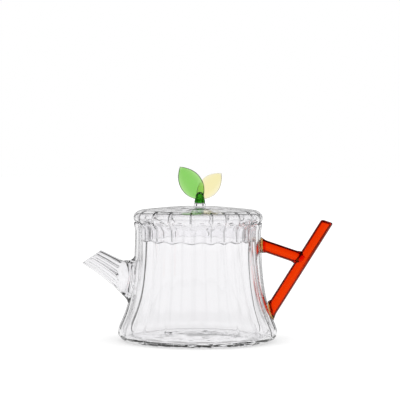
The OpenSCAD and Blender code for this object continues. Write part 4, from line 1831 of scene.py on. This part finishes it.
@dataclass
class Studio:
    """The pale table, the soft light round it and the camera.

    Attributes:
        lens_height: height of the lens, and distance its distance from the pot's axis.
        aim_height: height of the point on the axis that the picture's middle shows, aim_side to its side.
        roll: how far the camera leans.
        half_view: half of its angle of view.
        table_colour: the table's own grey, and table_glow what the camera sees of its light.
        far_glow: how much lighter the camera sees its far part.
        under: depth of the shade that glass sees as a ring under the foot.
        under_edge: where that shade ends and where it is full, and under_middle the same inside the ring.
        under_middle_share: share of the shade that is left in the middle.
        contact: depth of the faint shade round the foot that the camera sees, from contact_in outwards.
        piers_from: distances on the table between which the reflection of the bays sets in.
        pier_level: light of the piers, and ceiling_level of the ceiling, beside the bays' 1.
        ceiling: heights of a direction between which the bays give way to the ceiling.
        seen_through: level of what is seen through glass.
        gleam: level of what the gloss mirrors, in front and behind, and gleam_from where the change is.
        table_gleam: level of the table in the gloss.
        fill: level of the room's plain light.
        bay: angle from bay to bay, bay_half half the width of one and bay_soft of its blurred edge.
        lamps: the two lamps, lamp_size across, aimed at lamp_aim over the table.
        bounces: how often light passes glass, and gloss_bounces how often it is mirrored.
    """

    lens_height: float = 196 * MM
    distance: float = 1.7
    aim_height: float = 119.3 * MM
    aim_side: float = 1.4 * MM
    roll: float = math.radians(0.27)
    half_view: float = math.radians(5.687)
    floor_radius: float = 4.0
    floor_sides: int = 96
    table_colour: float = 0.5
    table_glow: float = 0.66
    far_glow: float = 0.1
    table_roughness: float = 0.1
    under: float = 0.85
    under_edge: Point2 = (0.062, 0.057)
    under_middle: Point2 = (0.054, 0.046)
    under_middle_share: float = 0.12
    contact: float = 0.1
    contact_in: float = 0.1
    piers_from: Point2 = (0.35, 0.6)
    pier_level: float = 0.03
    ceiling: Point2 = (0.8, 0.3)
    ceiling_level: float = 0.05
    seen_through: float = 1.0
    gleam: Point2 = (0.12, 0.55)
    gleam_from: Point2 = (0.3, 0.85)
    table_gleam: float = 0.75
    fill: float = 0.85
    bay: float = math.radians(45)
    bay_half: float = math.radians(17.5)
    bay_soft: float = math.radians(2)
    lamps: tuple[Lamp, ...] = (
        Lamp("lamp_left", (-1.1, -0.9, 1.3), 5.0),
        Lamp("lamp_right", (1.2, -0.5, 1.2), 4.0),
    )
    lamp_size: float = 0.9
    lamp_aim: float = 0.06
    bounces: int = 48
    gloss_bounces: int = 8

    def build_camera(self) -> None:
        """Places the camera and makes it the scene's."""
        data = bpy.data.cameras.new("camera")
        data.sensor_fit = "HORIZONTAL"
        data.lens = data.sensor_width / 2 / math.tan(self.half_view)
        camera = bpy.data.objects.new("camera", data)
        place = Vector((self.aim_side, -self.distance, self.lens_height))
        target = Vector((self.aim_side, 0.0, self.aim_height))
        camera.matrix_world = aimed(place, target) @ Matrix.Rotation(self.roll, 4, "Z")
        bpy.context.scene.collection.objects.link(camera)
        bpy.context.scene.camera = camera

    def bays_tree(self) -> bpy.types.NodeTree:
        """The pattern of bright bays and dim piers that stand round the table.

        Returns:
            A shader group that gives the light level in a direction.
        """
        outputs = {"Level": "NodeSocketFloat"}
        graph, value, sink = new_group("bays", "ShaderNodeTree", {"Direction": (0, 1, 0)}, outputs)
        x, y, _ = graph.split(value["Direction"])
        bays = graph.math("ARCTAN2", y, x) / self.bay
        angle = abs(bays - graph.math("ROUND", bays)) * self.bay
        bright = graph.smooth(angle, self.bay_half + self.bay_soft, self.bay_half - self.bay_soft)
        graph.feed(sink.inputs["Level"], bright * (1.0 - self.pier_level) + self.pier_level)
        return graph.tree

    def build_table(self, bays: bpy.types.NodeTree) -> None:
        """Makes the table: a wide, pale disc.

        Args:
            bays: the pattern of light that glass sees over the far part of the table.
        """
        work = bmesh.new()
        bmesh.ops.create_circle(work, cap_ends=True, segments=self.floor_sides, radius=self.floor_radius)
        mesh = bpy.data.meshes.new("table")
        work.to_mesh(mesh)
        work.free()
        table = link_object("table", mesh)
        material = bpy.data.materials.new("table")
        material.use_nodes = True
        graph = Graph(material.node_tree)
        place = graph.call("ShaderNodeTexCoord", output="Object")
        camera, through, glossy = graph.rays("Camera", "Transmission", "Glossy")
        x, y, _ = graph.split(place)
        reach = graph.math("SQRT", x**2.0 + y**2.0)
        far = graph.smooth(reach, *self.piers_from)
        bay_level = graph.group(bays, {"Direction": place})[0]
        ring = graph.smooth(reach, *self.under_edge) * self.under
        middle = graph.smooth(reach, *self.under_middle) * (1 - self.under_middle_share)
        lit = self.seen_through - far * (1.0 - bay_level) - ring * (1.0 - middle)
        near = graph.smooth(reach, self.contact_in, self.under_edge[0]) * self.contact
        plain = far * self.far_glow + self.table_glow - near
        bounced = graph.math("MAXIMUM", (glossy - through) * self.table_gleam, 0.0)
        pale = (1.0 - graph.math("MAXIMUM", through, glossy)) * self.table_colour
        look = {
            "Base Color": graph.combine(pale, pale, pale),
            "Roughness": self.table_roughness,
            "Specular IOR Level": 0.0,
            "Emission Color": WHITE,
            "Emission Strength": through * lit + camera * plain + bounced,
        }
        for label, value in look.items():
            graph.feed(material.node_tree.nodes["Principled BSDF"].inputs[label], value)
        mesh.materials.append(material)

    def build_world(self, bays: bpy.types.NodeTree) -> None:
        """Makes the soft room: bright bays all round with dim piers between them, and a dim ceiling.

        Args:
            bays: the pattern of light round the table.
        """
        world = bpy.data.worlds.new("room")
        bpy.context.scene.world = world
        world.use_nodes = True
        graph = Graph(world.node_tree)
        direction = graph.call("ShaderNodeTexCoord", output="Generated")
        bay_level = graph.group(bays, {"Direction": direction})[0]
        _, back, up = graph.split(direction)
        low = graph.smooth(up, *self.ceiling)
        level = bay_level * (low * (1 - self.ceiling_level) + self.ceiling_level)
        camera, glossy, through = graph.rays("Camera", "Glossy", "Transmission")
        front, behind = self.gleam
        gleam = graph.smooth(back, *self.gleam_from) * (behind - front) + front
        bounced = graph.math("MAXIMUM", glossy - through, 0.0) * gleam
        seen = (through * self.seen_through + bounced) * level
        other = graph.math("MAXIMUM", 1.0 - (camera + (glossy + through)), 0.0)
        background = world.node_tree.nodes["Background"]
        graph.feed(background.inputs["Strength"], graph.math("MAXIMUM", camera, seen) + other * self.fill)
        graph.feed(background.inputs["Color"], WHITE)

    def build_lamps(self) -> None:
        """Hangs the soft lamps over the table."""
        for lamp in self.lamps:
            data = bpy.data.lights.new(lamp.name, "AREA")
            data.shape = "DISK"
            data.size = self.lamp_size
            data.energy = lamp.power
            thing = bpy.data.objects.new(lamp.name, data)
            thing.visible_glossy = thing.visible_transmission = False
            thing.matrix_world = aimed(Vector(lamp.place), Vector((0.0, 0.0, self.lamp_aim)))
            bpy.context.scene.collection.objects.link(thing)

    def build(self) -> None:
        """Sets up camera, table, room, lamps and the plain view transform."""
        self.build_camera()
        bays = self.bays_tree()
        self.build_table(bays)
        self.build_world(bays)
        self.build_lamps()
        scene = bpy.context.scene
        scene.view_settings.view_transform = "Standard"
        scene.cycles.max_bounces = scene.cycles.transmission_bounces = self.bounces
        scene.cycles.glossy_bounces = self.gloss_bounces


def main() -> None:
    """Builds the studio and every piece of the teapot."""
    logging.basicConfig(level=logging.INFO, format="%(name)s: %(message)s")
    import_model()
    Studio().build()
    shop = Workshop(FINISHES)
    vessel = Vessel(Flutes())
    pot = Spout(vessel).join(vessel.build())
    shop.hand_over(pot, Slot.CLEAR, Body.POT, "vessel", "spout_socket", "spout_tube")
    handle = Handle(vessel)
    shop.hand_over(handle.build_bar(), Slot.ORANGE, Body.POT, "handle_bar")
    shop.hand_over(handle.build_branch(), Slot.ORANGE, Body.POT, "handle_branch")
    shop.hand_over(handle.build_bead("lower_seal", handle.bar), Slot.AMBER, Body.POT, "handle_lower_bead")
    shop.hand_over(handle.build_bead("upper_seal", handle.branch), Slot.AMBER, Body.POT, "handle_upper_bead")
    lid = Lid(vessel)
    shop.hand_over(lid.build(), Slot.CLEAR, Body.LID, "lid")
    knob = Knob(lid.top)
    shop.hand_over(knob.build_collar(), Slot.CLEAR, Body.LID, "knob_collar")
    shop.hand_over(knob.build_stem(), Slot.DEEP_GREEN, Body.LID, "knob_stem")
    green = LeafShape("green_leaf", 30.6 * MM, 9.5 * MM, math.radians(-33.5), -1)
    straw = LeafShape("straw_leaf", 26.9 * MM, 8.3 * MM, math.radians(43), 1)
    shop.hand_over(knob.build_leaf(green), Slot.GREEN, Body.LID, "leaf_green")
    shop.hand_over(knob.build_leaf(straw), Slot.STRAW, Body.LID, "leaf_amber")


if __name__ == "__main__":
    main()
